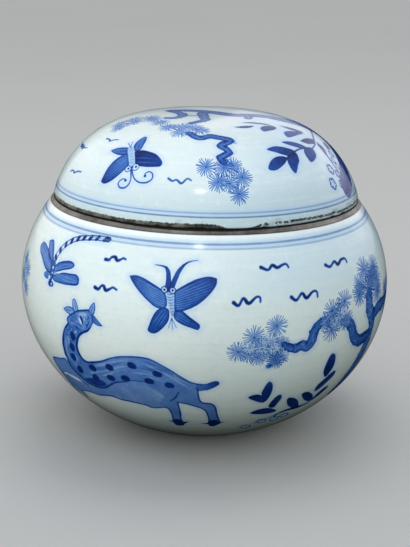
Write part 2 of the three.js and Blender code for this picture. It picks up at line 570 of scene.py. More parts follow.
def pot_butterfly(sheet):
    wing(
        sheet,
        [(-34.5, 125.7), (-31.5, 126.2), (-28, 125.3), (-24.5, 123.6), (-20.3, 121.4), (-18, 119.5),
         (-17, 116.5), (-17.3, 113.5), (-21, 112.9), (-25, 115.4), (-29.5, 119.3), (-33, 123.2)],
        ((-18, 119.4), (-18.2, 113.8)),
        [(-31.8, 125), (-32.2, 124), (-31.8, 122.9), (-30.9, 121.6), (-29.4, 120.2), (-27.4, 118.4),
         (-25, 116.4)],
        wash=0.66, tip_wash=0.78, vein=0.46,
    )
    wing(
        sheet,
        [(5.5, 127), (2, 127.7), (-3, 126.5), (-7, 124.5), (-12, 121.4), (-13.3, 120), (-13, 112.3),
         (-10, 112.2), (-5, 114.2), (-1, 116.9), (3, 120.9), (5.3, 124.4)],
        ((-12.6, 120), (-12, 113)),
        [(0, 126.6), (2.4, 126), (3.6, 124.9), (3.9, 123.6), (3.2, 122), (1.8, 120.3), (-0.4, 118.5),
         (-3, 116.6), (-6, 114.8)],
        wash=0.76, tip_wash=0.86, vein=0.52,
    )
    wing(
        sheet,
        [(-18.5, 112.9), (-21, 111.5), (-23, 108.3), (-24.5, 104.5), (-25.2, 101.8), (-22.5, 100.9),
         (-19.5, 103), (-16.5, 106.8), (-15.8, 110), (-16.3, 112.5)],
        ((-19, 111.4), (-16.8, 109.8)),
        [(-23.6, 104.4), (-22.4, 103.4), (-20.6, 104)],
        wash=0.74, tip_wash=0.84, vein=0.58,
    )
    wing(
        sheet,
        [(-13, 111.8), (-10, 112), (-7, 109.6), (-3.5, 107.2), (-1.8, 105.8), (-2.3, 103.9), (-5, 104.6),
         (-9, 106), (-12, 107.6), (-13.3, 109.5)],
        ((-11.6, 110.9), (-12.4, 108.8)),
        [(-5, 107.2), (-4.2, 105.8), (-6.2, 105.6)],
        wash=0.7, tip_wash=0.82, vein=0.54,
    )
    body = [(-16.9, 120.6), (-16.6, 117), (-15.8, 113), (-14.6, 109), (-13.8, 108.8), (-13.3, 112),
            (-13.4, 116), (-13.6, 120)]
    sheet.patch(body, 0.2, lift=True)
    draw = random.Random(50)
    for i in range(8):
        height = 119.4 - 1.3 * i
        left = -16.8 + 0.25 * i + draw.uniform(-0.2, 0.3)
        right = -13.6 + draw.uniform(-0.3, 0.1)
        dip = draw.uniform(-0.3, 0.5)
        band = [(left, height), ((left + right) / 2, height - dip), (right, height + 0.3)]
        sheet.stroke(band, (0.2, 0.45, 0.3), 0.62, soft=0.3, step=2)
    feeler = [(-16.6, 121.6), (-16.2, 124.5), (-16.2, 127), (-16.5, 129.6), (-17.4, 131.2)]
    sheet.stroke(feeler, (3.0, 2.6, 2.3, 2.0, 1.2), 0.84)
    sheet.stroke([(-17.2, 131.2), (-19, 131.9), (-22.4, 132.2)], (1.2, 0.6, 0.25), 0.86)
    feeler = [(-15, 121.8), (-13.9, 124.5), (-12.9, 127), (-11.5, 130), (-9.4, 132.8)]
    sheet.stroke(feeler, (2.8, 2.4, 2.2, 1.9, 1.2), 0.84)
    sheet.stroke([(-9.6, 132.6), (-7, 134.5), (-3, 135.4)], (1.2, 0.5, 0.2), 0.86)
    for eye in ((-18.0, 121.2), (-14.2, 121.1)):
        sheet.ring(eye, 1.5, 0.6, 0.74)
        sheet.dot(eye, 1.2, 0.12, lift=True)
        sheet.dot(eye, 0.55, 0.98)
    sheet.dot((-16.2, 120.9), 0.7, 0.85)
    for end in ((-15.8, 103.8), (-13.9, 103.2), (-12.2, 104.3)):
        sheet.stroke([(-14.4, 108.6), end], (0.4, 0.2), 0.66, soft=0.3, step=3)


def dragonfly(sheet):
    wings = (
        [(-2, 117.5), (2, 118.8), (6, 120.3), (11, 120.9), (15, 121.2), (17, 120), (17.4, 118.3), (16.5, 117),
         (10, 116), (4, 115.6), (0, 115.7)],
        [(-1.5, 120), (-1, 122.5), (1, 124.3), (4, 125.5), (8, 126.5), (10.5, 126.3), (12, 125.3),
         (10, 123.7), (5, 122), (1, 120.3)],
        [(-13.3, 132.2), (-11, 133.2), (-9, 132.5), (-7, 129.5), (-5.5, 126.5), (-4.5, 124), (-8.5, 125),
         (-10.5, 127.3), (-12, 130)],
        [(-21, 128), (-19.5, 130), (-16.5, 130), (-12.5, 128.5), (-9, 126.5), (-5, 123), (-3.7, 119.5),
         (-5, 118.4), (-8, 119), (-11, 120.5), (-15, 123.3), (-19, 125.5)],
    )
    for outline in wings:
        sheet.patch(outline, 0.6, step=1.0)
        sheet.border(outline, (0.6, 0.9, 0.6), 0.82, step=1.0)
        middle = np.mean(outline, axis=0)
        far = max(outline, key=lambda point: math.dist(point, (-3, 119)))
        for side in (-0.9, 0.7):
            sheet.stroke(
                [(-3.5, 119.5), middle + (0, side), np.array(far) * 0.85 + middle * 0.15 + (0, side * 0.5)],
                (0.3, 0.6, 0.3), 0.42, lift=True, step=2.5,
            )
    sheet.patch([(-9.8, 117), (-8, 118.3), (-5.5, 118), (-4.5, 116), (-6, 114.9), (-9, 115.5)], 0.55)
    tail = [(-3.2, 124), (-2.3, 128), (0.3, 132.5), (4, 136), (8.5, 138.4), (14, 139.8), (20, 140.8),
            (26.4, 141)]
    sheet.stroke(tail, (2.4, 3.0, 2.8, 2.2), 0.08, lift=True)
    spine = smooth(tail, 1.0)
    out = sideways(spine)
    for side in (-1, 1):
        sheet.stroke(spine + out * side * 1.1, (0.4, 0.6, 0.6), 0.82, step=1.5)
    for i in range(2, len(spine) - 3, 4):
        lean = out[i] * 0.7
        sheet.stroke([spine[i] + lean, spine[i + 1] - lean], (1.8, 1.8), 0.92, step=1.2)
    sheet.stroke(spine[-3:], (2.0, 2.5, 1.8), 0.92, step=1.2)
    sheet.patch([(-4.6, 124.5), (-1.6, 124), (-1, 119), (-1.8, 114.8), (-4, 114.6), (-5, 118)], 0.75)
    for spot, radius in (((-4.2, 116.2), 1.0), ((-2.8, 121.2), 0.7), ((-2.4, 118.8), 0.5)):
        sheet.dot(spot, radius, 0.08, lift=True)
    sheet.patch([(-4.6, 113.5), (-3.2, 114.9), (-0.6, 114.6), (0.4, 113.3), (-1, 112.2), (-3.6, 112.2)], 0.85)
    sheet.dot((-1.6, 113.5), 0.8, 0.25, lift=True)


deer_back = [(-49.8, 81.2), (-39.8, 86), (-30, 87.4), (-20, 84.9), (-10.6, 79), (-3, 74.6)]


def brushed_coat(sheet):
    """Short dry brush marks along the deer's back and neck, where the wash was laid over itself."""
    draw = random.Random(60)
    back = smooth([(-58, 78), *deer_back], 1.8)
    for i in range(64):
        start = draw.randrange(0, len(back) - 6)
        hair = back[start:start + draw.choice((4, 5, 6))]
        deepest = 9.5 if hair[0][0] < -22 else 4.5
        drop = draw.uniform(0.8, deepest)
        tone = draw.choice((0.26, 0.32, 0.38, 0.68, 0.74))
        widths = (0.2, draw.uniform(0.4, 0.9), 0.2)
        sheet.stroke(hair - (0, drop), widths, tone, lift=True, soft=0.6, step=2.5)
    neck = smooth([(-65.5, 97), (-69.2, 92.5), (-70.2, 87), (-69.6, 81), (-66.5, 76), (-62, 72)], 1.8)
    out = sideways(neck)
    for i in range(46):
        start = draw.randrange(0, len(neck) - 3)
        hair = neck[start:start + 3] + out[start] * draw.uniform(-3.2, 3.2)
        tone = draw.choice((0.26, 0.34, 0.42, 0.8))
        sheet.stroke(hair, (0.2, draw.uniform(0.5, 0.9), 0.2), tone, lift=True, soft=0.5, step=2.5)


def deer_legs(sheet):
    """The raised forelegs and the hind legs, washed thinner than the body."""
    foreleg = [
        (-74.2, 75.9), (-78.8, 74.4), (-83.4, 73.2), (-86.6, 72), (-87.2, 70.2), (-85.3, 65.7), (-81.4, 59.8),
        (-77.6, 54.3), (-74.5, 48.2), (-71, 46.5), (-73, 52), (-76, 58), (-79.5, 64.3), (-77.7, 65.4),
        (-73.1, 65.4), (-68, 65), (-64.1, 63.1), (-60.3, 61.5), (-60, 68),
    ]
    second_foreleg = [
        (-58, 62), (-64, 62.6), (-68.8, 62.2), (-72.8, 62.9), (-77.2, 63.5), (-78, 60), (-74.5, 55),
        (-70.5, 50.5), (-66, 47), (-63.5, 46.5), (-65, 50.6), (-67.2, 53), (-63.8, 54.8), (-58.3, 55.9),
        (-50, 57),
    ]
    sheet.patch(second_foreleg, (((-50, 60), 0.44), ((-76, 58), 0.42)))
    sheet.patch(foreleg, (((-62, 66), 0.52), ((-84, 66), 0.44)))
    sheet.stroke(foreleg[:9], (0.5, 0.8, 0.9, 0.6), 0.82)
    sheet.stroke(
        [(-79.5, 64.3), (-77.7, 65.2), (-73.1, 65.3), (-68, 65), (-64.1, 63.1), (-60.3, 61.5)], 0.6, 0.8
    )
    sheet.stroke(
        [(-67.2, 52.8), (-63.8, 54.6), (-58.3, 55.7), (-53.9, 55.7), (-49, 57.5), (-45, 58.2), (-40, 57.2),
         (-36, 57.2), (-31, 56.9), (-27, 56.3), (-24, 54.9)],
        (0.6, 0.9, 1.1, 0.9), 0.86,
    )
    rump = [
        (-2, 72), (-1.8, 68.5), (-1.2, 64.5), (0.3, 62.1), (4.6, 61.1), (6.4, 58.2), (7.1, 53.1), (8.1, 47),
    ]
    right_shin = [(3.6, 46.6), (3.1, 50.5), (2.1, 54.8), (0, 57.6), (-4.2, 59.7), (-7.9, 61)]
    left_shin = [(-10.8, 57.3), (-10.1, 52), (-9.9, 46.6)]
    left_hock = [(-13.9, 48.9), (-14.7, 52.8), (-15.9, 55.6)]
    hindquarter = [
        (-26, 72), (-18, 76), (-8, 76), *rump, (9.3, 42), (5.8, 38.2), (3.2, 40.5), *right_shin, (-10.6, 61),
        *left_shin, (-8.2, 41.5), (-9.4, 37.9), (-12.3, 37.8), (-13.8, 41.5), (-13.8, 44.6), *left_hock,
        (-18, 56.6), (-20, 60), (-18, 66),
    ]
    sheet.patch(hindquarter, (((-12, 66), 0.5), ((-4, 42), 0.52)), soft=1.0)
    sheet.stroke([*rump, (9, 42.5)], (0.6, 1.0, 0.8, 0.9), 0.88)
    sheet.stroke([(3.4, 43), *right_shin, (-11.4, 61.6)], (0.6, 0.8, 1.0, 0.7), 0.86)
    sheet.stroke([(-11.4, 61.6), *left_shin, (-8.6, 42)], (0.7, 0.9, 0.7), 0.85)
    sheet.stroke([(-13.6, 42), *left_hock, (-17.9, 56.4), (-22, 55.1), (-25, 55)], (0.6, 0.8, 0.9, 0.8), 0.86)
    sheet.stroke([(-11, 69), (-12.4, 65), (-15, 62)], (0.5, 0.8, 0.5), 0.88)
    for hoof in (
        [(11.4, 44.1), (8.4, 43.2), (7.6, 46), (4, 45.6), (3.4, 43), (-0.3, 41.6), (3.2, 41), (4, 38.6),
         (5.9, 37.6), (8, 40.6)],
        [(-6.1, 43.7), (-9.2, 43.2), (-10, 45.8), (-13.6, 45.4), (-13.4, 43.6), (-16.4, 42.5), (-13.4, 41.4),
         (-12.4, 37.7), (-9, 37.7), (-8, 40.6)],
    ):
        sheet.patch(hoof, 0.92, step=1.5)


def deer_trunk(sheet):
    """The trunk with the neck and the head, and the belly below it."""
    throat = [(-74.7, 85), (-73.8, 90.8), (-72.2, 94.6), (-69.8, 97.6)]
    nape_and_back = [
        (-55.5, 99.1), (-57.4, 96.6), (-60.8, 94.7), (-63.3, 92.2), (-64.4, 89.1), (-64.8, 86.3), (-63.8, 83),
        (-61.6, 79.9), (-58.6, 78.8), (-55.8, 79.4), (-49.8, 81.6), (-44.8, 84.4), (-39.8, 86.3), (-35, 87.2),
        (-30, 87.7), (-25, 87.4), (-20, 85.2), (-15, 82.4), (-10.6, 79.3), (-5.6, 76), (-2, 74.9),
    ]
    chest = [(-74.2, 81), (-72.3, 75.1), (-69.7, 70.7), (-63, 66.1), (-59, 63.7)]
    trunk = [
        *throat, (-70.5, 99.2), (-68.8, 101.6), (-66.3, 103.2), (-63.4, 105.2), (-59, 106.3), (-57, 106.9),
        (-54.1, 105), (-54.2, 101.4), *nape_and_back, (-2, 70.5), (-8, 68.5), (-16, 70), (-25, 73),
        (-33, 73.2), (-38, 71.4), (-42, 70.2), (-46, 67), (-48.7, 64.3), (-52.8, 63), *reversed(chest),
    ]
    belly = [
        (-60, 64), (-52.8, 62.5), (-48.7, 64), (-46, 67), (-42, 70.2), (-38, 71.6), (-33, 73.6), (-25, 74),
        (-17, 71), (-16, 62), (-18, 56.6), (-24, 55), (-30, 56.9), (-40, 57.2), (-45, 58.2), (-54, 55.9),
        (-60, 56.5),
    ]
    sheet.patch(belly, (((-50, 62), 0.44), ((-20, 62), 0.40)), halo=False)
    sheet.patch(trunk, (((-72, 84), 0.6), ((-48, 76), 0.5)))
    sheet.patch(
        [(-62, 66.5), (-56, 69.5), (-50, 69), (-47.5, 66.2), (-50, 64), (-54, 63.2), (-59, 64.2)],
        0.86, soft=1.6,
    )
    sheet.stroke([(-73.9, 78), *throat], (0.9, 1.4, 1.1, 0.9), 0.93)
    sheet.stroke(nape_and_back, (1.0, 1.5, 1.2, 0.7, 0.8, 0.7, 0.8), (0.92, 0.92, 0.85, 0.8, 0.82, 0.85))
    sheet.stroke(
        [*chest, (-52.8, 62.8), (-48.7, 64.2), (-46, 67), (-42, 70.2), (-38, 71.5), (-33, 73.4), (-26, 73.6)],
        (1.0, 1.3, 1.2, 1.0, 0.5), (0.9, 0.93, 0.9, 0.8, 0.7),
    )
    for light in (
        [(-71.4, 80), (-71.6, 86), (-70.2, 92), (-67, 96)],
        [(-65.8, 80), (-66, 86), (-65.4, 90)],
    ):
        sheet.stroke(light, (0.4, 1.1, 0.5), 0.52, lift=True, soft=1.0)
    back = smooth([(-59, 78.6), *deer_back], 2.6)
    for drop, start, end in (
        (1.4, 3, 19), (2.6, 5, 20), (4.0, 4, 17), (5.2, 8, 21), (6.6, 10, 20), (8.2, 12, 20),
    ):
        hair = back[start:end] - (0, drop)
        sheet.stroke(hair, (0.2, 0.55, 0.4, 0.55, 0.2), 0.42, lift=True, soft=0.6, step=2.5)


def deer_tail(sheet):
    sheet.patch(
        [(-2.5, 75.2), (1.7, 74.9), (4.8, 76.3), (7, 76.9), (7.9, 75.1), (5, 72.9), (2.1, 71.3),
         (-2.5, 70.6)],
        (((-2, 73), 0.66), ((7, 76), 0.85)),
    )
    sheet.stroke(
        [(-2, 74.9), (1.7, 74.9), (4.8, 76.3), (7, 76.7), (7.7, 75.1), (5, 72.9), (2.1, 71.3)], 0.6, 0.85
    )


def deer_head(sheet):
    """The ears, horns and face, and the short marks of the fur round them."""
    for outline, tone in (
        ([(-73, 104.1), (-70, 105.6), (-66.6, 105.4), (-65.5, 103.4), (-68, 102.3), (-71.4, 103)], 0.36),
        ([(-66.8, 109.4), (-65.9, 110.2), (-64.6, 109), (-63.4, 106), (-63.2, 104.6), (-66.2, 104.6)], 0.3),
        ([(-53.4, 110.8), (-53, 108.2), (-54.1, 105.2), (-56.8, 104.8), (-56.2, 107.2), (-55, 109.3)], 0.34),
        ([(-49, 100.6), (-51.2, 100.4), (-54, 101.6), (-55.4, 103.4), (-54, 104.6), (-51.4, 102.6)], 0.6),
    ):
        sheet.patch(outline, tone, step=0.9)
        sheet.border(outline, (0.45, 0.7, 0.45), 0.78, step=0.9)
    for fold in ([(-71.6, 104), (-68, 104)], [(-65.6, 108.6), (-64.6, 105.4)], [(-54, 109), (-55.4, 105.8)]):
        sheet.stroke(fold, (0.3, 0.5, 0.3), 0.7, step=2)
    sheet.patch(
        [(-69.5, 98.6), (-68.4, 101.4), (-64, 104.2), (-58, 105.8), (-55, 104.4), (-54.8, 100.6),
         (-56.4, 98.4), (-61, 96.6), (-66, 96.6)],
        0.46, lift=True, soft=1.2,
    )
    sheet.stroke(
        [(-69.8, 97.6), (-70.6, 99.4), (-68.8, 101.6), (-66.3, 103.2), (-63.4, 105), (-59, 106.2),
         (-57, 106.6)],
        0.8, 0.88,
    )
    sheet.stroke([(-54.3, 104.5), (-54.2, 101.4), (-55.5, 99.1)], 0.6, 0.85)
    sheet.patch([(-62.6, 104.4), (-58.6, 105), (-57.4, 103.6), (-60.6, 103), (-63, 103.2)], 0.3, lift=True)
    sheet.patch([(-62.9, 102.2), (-62.3, 99.8), (-60.9, 98.9), (-60.9, 100.4)], 0.1, lift=True)
    sheet.patch([(-59.7, 102.3), (-58.9, 102.5), (-59.4, 100.4)], 0.2, lift=True)
    sheet.stroke([(-61.6, 102.6), (-60.9, 101.2), (-60.3, 99.6)], (0.9, 1.2, 0.6), 1.0, step=0.8)
    for line in (
        [(-69.4, 98), (-67.4, 99.6), (-65.4, 98.8)], [(-68.2, 101), (-66, 101.6), (-65, 100)],
        [(-66.4, 103), (-64.6, 102.4), (-64.4, 100.8)], [(-64.4, 98.8), (-62.4, 98.4), (-60.8, 97.6)],
        [(-58.6, 99), (-57, 99.6), (-56.6, 101.4)], [(-57.6, 101.8), (-56.4, 103.2), (-57.6, 104)],
        [(-67, 97), (-64, 96.4), (-61, 95.6)], [(-69.6, 95.8), (-67.4, 96), (-66.2, 94.6)],
        [(-68.6, 93.4), (-66.8, 93.8), (-65.8, 92.6)], [(-64.8, 96), (-63.4, 94.8), (-63.6, 93.4)],
        [(-68.8, 99.8), (-67, 100.6), (-66.2, 99.6)], [(-65.8, 97.6), (-64, 97), (-62.6, 95.8)],
        [(-70.8, 94), (-69.2, 94.4), (-68.6, 95.6)], [(-58.8, 97.4), (-57.6, 98.4), (-57.4, 99.8)],
        [(-71.8, 91), (-70, 91.2), (-69, 90)], [(-66.8, 91), (-65.4, 91.2), (-64.6, 90.2)],
    ):
        sheet.stroke(line, (0.4, 0.8, 0.4), 0.8, soft=0.5)


def deer_spots(sheet):
    """The coat's spots, all of one form: across, up and lean in degrees of each."""
    spot = ((2.7, 0), (1.3, 1.7), (-1.5, 1.6), (-2.5, 0), (-1.3, -1.8), (1.6, -1.5))
    for across, up, lean in (
        (-55.5, 76, -35), (-45.5, 79, -30), (-33.5, 82.5, -25), (-21, 79.4, -20), (-25, 74.5, -15),
        (-15.2, 73.2, -15), (-37, 74, -15), (-45, 72.4, -20), (-54, 70, -45), (-64.2, 72.3, -60),
        (-68.2, 85, -75), (-67.9, 79.2, -70), (-67.2, 91.4, -70),
    ):
        way = heading(math.radians(lean))
        side = np.array([-way[1], way[0]])
        outline = [np.array([across, up]) + way * ahead + side * aside for ahead, aside in spot]
        sheet.patch(outline, 0.9, soft=0.7)


def deer(sheet):
    deer_legs(sheet)
    deer_trunk(sheet)
    brushed_coat(sheet)
    deer_tail(sheet)
    deer_head(sheet)
    deer_spots(sheet)


def left_pine_clump(sheet):
    for centre, radius in (((20, 94), 5), ((28, 93), 6), ((34, 91), 5), ((34, 101), 4)):
        sheet.dot(centre, radius, 0.13, soft=4.5, halo=False)
    needle_bursts(sheet, 100, (
        (16, 92.8, 5.2), (23.5, 99.6, 5.4), (34.4, 104.2, 5.3), (21, 91.5, 4.6), (26.5, 95, 4.8),
        (25.5, 89.5, 4.6), (31, 91.5, 4.6), (31.5, 96.5, 4.6), (37, 88.5, 4.4), (37.4, 95, 4.2),
    ), tone=0.66, wash=0.2, heart=0.86, count=26, width=0.36)
    for spot in ((27.5, 93.5), (33, 93), (29.5, 98), (21.5, 94.5)):
        pale_needles(sheet, spot, 3.2, round(10 * spot[0]))
    needle_burst(sheet, (34.6, 87), 4.6, 120, tone=0.84, wash=0.5, heart=0.95)
    sheet.patch([(29.6, 84.6), (32, 85.6), (33.4, 84.6), (31.6, 82.8), (30, 83)], 0.74, soft=1.2)


def right_pine(sheet):
    branch(
        sheet,
        [(-28.6, 95.4), (-27, 94.2), (-25.1, 93.2), (-21.1, 91.8), (-18, 93.2), (-15, 91.6), (-12.6, 94.4),
         (-12, 97.5), (-10.5, 100.9), (-8, 102.5), (-5, 103)],
        (2.2, 3.8, 5.0, 5.0, 5.2, 5.2, 5.2, 4.8, 3.6), seed=11,
    )
    branch(
        sheet,
        [(6, 102), (10, 99.6), (13.6, 96.6), (15.6, 93), (17.6, 89.8), (21, 87.2), (26, 86.4), (31, 87)],
        (4.6, 5.8, 6.0, 6.4, 7.0), seed=12,
    )
    for spot in ((-4.5, 102.4), (0.5, 103), (6, 102), (9.3, 100.4)):
        sheet.dot(spot, 3.4, 0.3, lift=True, soft=2.6)
    needle_bursts(sheet, 200, (
        (7.6, 110.3, 5.8, 0.8), (-1.1, 107.1, 6.0, 0.8), (4.4, 106.2, 5.2, 0.72), (9.3, 100.4, 5.2, 0.84),
        (-0.9, 97.6, 5.6, 0.82), (3.5, 101.6, 5.2, 0.72), (-4.4, 102.4, 5.0, 0.78),
    ), wash=0.15, heart=0.92, width=0.4)
    for spot, radius in (((4.6, 104.2), 3.6), ((0.6, 101.6), 3.0), ((7.4, 105.4), 2.6)):
        pale_needles(sheet, spot, radius, round(10 * radius))


def edge_pine(sheet):
    """The tree that stands at the right edge of the view, with its trunk down to the ground."""
    branch(
        sheet,
        [(-3.4, 109), (-3.4, 105), (-2.6, 101), (0.6, 97), (2.6, 92.6), (3.2, 87), (2.6, 81.6), (2.2, 75),
         (0.8, 68), (-0.8, 60), (-1.6, 52)],
        (6.8, 7.4, 7.6, 7.0, 6.6, 8.8, 10.0, 10.2, 10.2, 10.4, 11.2), tone=0.58, seed=21,
    )
    branch(sheet, [(-8, 85.6), (-4, 86), (1, 87.2)], (6.6, 6.6, 6.0), seed=22)
    branch(
        sheet, [(2.6, 96.7), (7.8, 98.6), (13, 99.4), (20, 99), (28, 101), (34, 99)], (7, 7, 6, 4), seed=23
    )
    needle_bursts(sheet, 300, (
        (-5, 121.6, 6.6, 0.8), (5.6, 120.6, 6.2, 0.66), (0, 117, 6.4, 0.72), (-3, 111.8, 6.8, 0.82),
        (-13, 111, 6, 0.74), (-11.4, 115.6, 5.4, 0.56), (6.8, 114.6, 6.8, 0.66), (7.2, 107.8, 6.4, 0.68),
        (22, 105.5, 5.2, 0.68), (30, 107, 5.2, 0.7), (36, 102, 5, 0.66), (27, 94, 5, 0.68),
    ), wash=0.28, heart=0.9, count=26, width=0.46)


def low_leaves(sheet):
    for outline in (
        [(30.5, 60.5), (33, 65), (34, 70), (33.5, 73.5), (32, 74.8), (30.5, 73), (29, 69.5), (28.5, 66.5)],
        [(22, 65), (25, 66.7), (28.5, 65.8), (30.5, 61), (29.5, 59.8), (26, 61.5)],
        [(32.8, 55.5), (34, 60), (37, 64), (38.8, 64.3), (39.3, 61.5), (37.5, 57.5), (35.5, 54)],
        [(23.5, 51.3), (26.5, 53.7), (31, 54.6), (34.5, 53.5), (37.5, 50.2), (34, 48.5), (29, 49),
         (25.5, 50)],
        [(43, 60.3), (46.5, 59.5), (49.5, 56), (50.5, 52), (51, 49), (48, 48.5), (45, 51.5), (43, 55.5)],
        [(51.3, 61.5), (54.5, 62), (58, 59), (59.8, 55), (60, 52), (57.5, 51.5), (54, 54.5), (52, 58)],
        [(59.3, 60.5), (60.5, 65), (65, 69), (70, 72.3), (72.3, 71.8), (71.5, 69), (67, 65), (62.5, 61.5)],
        [(60, 52), (61, 56), (65, 60), (69, 61.5), (69.3, 59.5), (66, 56.5), (62.5, 53.5)],
        [(64.5, 70.3), (63, 74), (63.7, 78.5), (66, 83.5), (68, 84.5), (70, 82.5), (70, 77), (68, 73),
         (66, 70.5)],
    ):
        leaf(sheet, outline)
    sheet.stroke([(36.5, 43), (39.5, 46.5), (44, 48.3), (51, 48.5), (58, 50.5)], (1.2, 2.4, 2.6, 1.2), 0.92)
    sheet.stroke([(26, 38), (33, 43), (38, 46)], (0.6, 0.9, 0.6), 0.75)
    for centre in ((22, 34), (30, 40), (37, 40), (43, 42)):
        flower_ring(sheet, centre, 2.8, 0.72)


def cover_butterfly(sheet):
    wing(
        sheet,
        [(-55.5, -57.8), (-53, -55.2), (-49.5, -52.2), (-45, -50.1), (-41, -49.5), (-39.3, -50),
         (-38.8, -56.5), (-41.5, -58.6), (-44, -59.8), (-49, -61), (-53, -60.6), (-55, -59)],
        ((-39.9, -50.6), (-40.3, -57.2)),
        [(-50.5, -53.8), (-52.6, -56), (-53, -57.6), (-52.4, -58.8), (-50.4, -59.6), (-47, -59.6)],
        wash=0.72, tip_wash=0.9, vein=0.5,
    )
    wing(
        sheet,
        [(-35.3, -50.5), (-32, -51), (-28.5, -53.4), (-25, -56.5), (-22.8, -60), (-22, -62.5), (-23, -64),
         (-26, -63.4), (-30, -62.1), (-34, -59.8), (-35.5, -57)],
        ((-34.2, -55.2), (-34, -58)),
        [(-25.4, -59.2), (-24.6, -61.8)],
        wash=0.95, tip_wash=0.86, vein=0.68,
    )
    wing(
        sheet,
        [(-47.8, -41.7), (-45, -42.2), (-41, -44.3), (-38.5, -46.2), (-39.5, -49.3), (-42, -49),
         (-44.5, -46.8), (-46.7, -44)],
        ((-39.8, -46.2), (-40.2, -48.2)), [(-45.4, -43.4), (-44.4, -45.4)],
        wash=0.74, tip_wash=0.56, vein=0.5,
    )
    wing(
        sheet,
        [(-35, -50), (-35.7, -47), (-34.5, -44), (-31.5, -41.1), (-29.7, -40.8), (-29.7, -43.5), (-31, -46.9),
         (-32.5, -50)],
        ((-34.8, -48.6), (-33, -49)), [(-32.4, -43), (-31, -44.2)],
        wash=0.72, tip_wash=0.54, vein=0.5,
    )
    body = [(-38.9, -46), (-36, -46.3), (-35.5, -52), (-35.8, -58), (-38.4, -58.4), (-39, -52)]
    sheet.patch(body, 0.2, lift=True)
    draw = random.Random(51)
    for i in range(7):
        height = -46.8 - 1.6 * i + draw.uniform(-0.3, 0.3)
        left = -38.8 + draw.uniform(0, 1.2)
        sheet.stroke([(left, height), (left + 1.6, height - 0.5)], (0.2, 0.4), 0.42, soft=0.4, step=2)
    curls = (
        [(-38.2, -61), (-38.7, -66), (-40.5, -68.5), (-43, -69), (-45.5, -67.5), (-46, -65), (-44.5, -64),
         (-42.3, -64.2), (-41.7, -65.4)],
        [(-37.6, -61), (-37, -66), (-34.5, -69.5), (-30.5, -71), (-27.5, -70), (-27, -67.5), (-28.5, -65.7),
         (-30.7, -66), (-31, -67.3)],
    )
    for curl in curls:
        sheet.stroke(curl, (0.7, 0.55, 0.8, 0.6, 0.5), 0.78, step=0.8)
        sheet.dot(curl[-1], 0.75, 0.85)
    for eye, radius in (((-39.6, -59.6), 1.3), ((-35.5, -60.3), 1.6)):
        sheet.ring(eye, radius + 0.4, 0.5, 0.62)
        sheet.dot(eye, radius, 0.1, lift=True)
        sheet.dot((eye[0] + 0.2, eye[1]), 0.6, 0.98)
    sheet.dot((-37.4, -59.8), 0.8, 0.88)
    for end in ((-38.6, -41.6), (-36.4, -42)):
        sheet.stroke([(-37.5, -46), end], (0.5, 0.3), 0.7, step=3)


def cover_pine(sheet):
    branch(
        sheet, [(-19, 5), (-15, -2), (-12.5, -8), (-13, -14), (-17, -18), (-20.5, -16.5)],
        (5.4, 5, 3.6), seed=31,
    )
    branch(
        sheet, [(0, 2), (-2.5, -5), (-2, -12), (-1.5, -18), (-1, -23), (-5, -27), (-8, -29.5)],
        (6, 5.2, 3.4), seed=32,
    )
    sheet.stroke([(-13, -10), (-7, -12), (-2.5, -10)], (2.2, 2.8, 2.2), 0.45)
    branch(
        sheet, [(-19, 5), (-8, 5), (2, 1), (8, -4), (14, -7), (20, -5), (30, -3), (38, -4), (50, 2), (62, 6)],
        (6, 8, 9, 9, 10, 12), seed=33,
    )
    branch(sheet, [(20, -5), (20.5, -10), (20, -15)], (5, 3.6), seed=34)
    needle_bursts(sheet, 400, (
        (-19, -33.5, 5), (-13, -41, 5), (-12, -34, 5), (-6, -36, 4.6), (-3, -39.5, 4.6), (-44, -13, 5.2),
        (-44, -19.5, 5), (-36.5, -11, 5.2), (-36, -17.5, 5), (-28, -13, 5), (-27, -18, 5), (-23, -25, 5),
    ), tone=0.74, wash=0.3, heart=0)
    branch(
        sheet,
        [(-9, -42), (-5.5, -46.5), (-2.5, -47.5), (1.5, -45.5), (5, -46.5), (9.5, -47.3), (11.4, -48.6),
         (9, -50.8), (6.4, -53.2), (9.5, -55.5), (11, -57.5), (8, -60), (6.4, -61.5), (8.5, -64.3)],
        (3.4, 4.0, 3.8, 3.6), seed=35,
    )
    needle_bursts(sheet, 430, (
        (-0.2, -67.2, 5.3, 0.76), (8.5, -67, 5.3, 0.8), (18, -70.6, 5.3, 0.78), (6, -75, 5.3, 0.78),
        (17.2, -79.2, 5.3, 0.8), (12.8, -65, 4.8, 0.72), (12, -75, 4.8, 0.66),
    ), wash=0.28, heart=0.92, count=24, width=0.38)


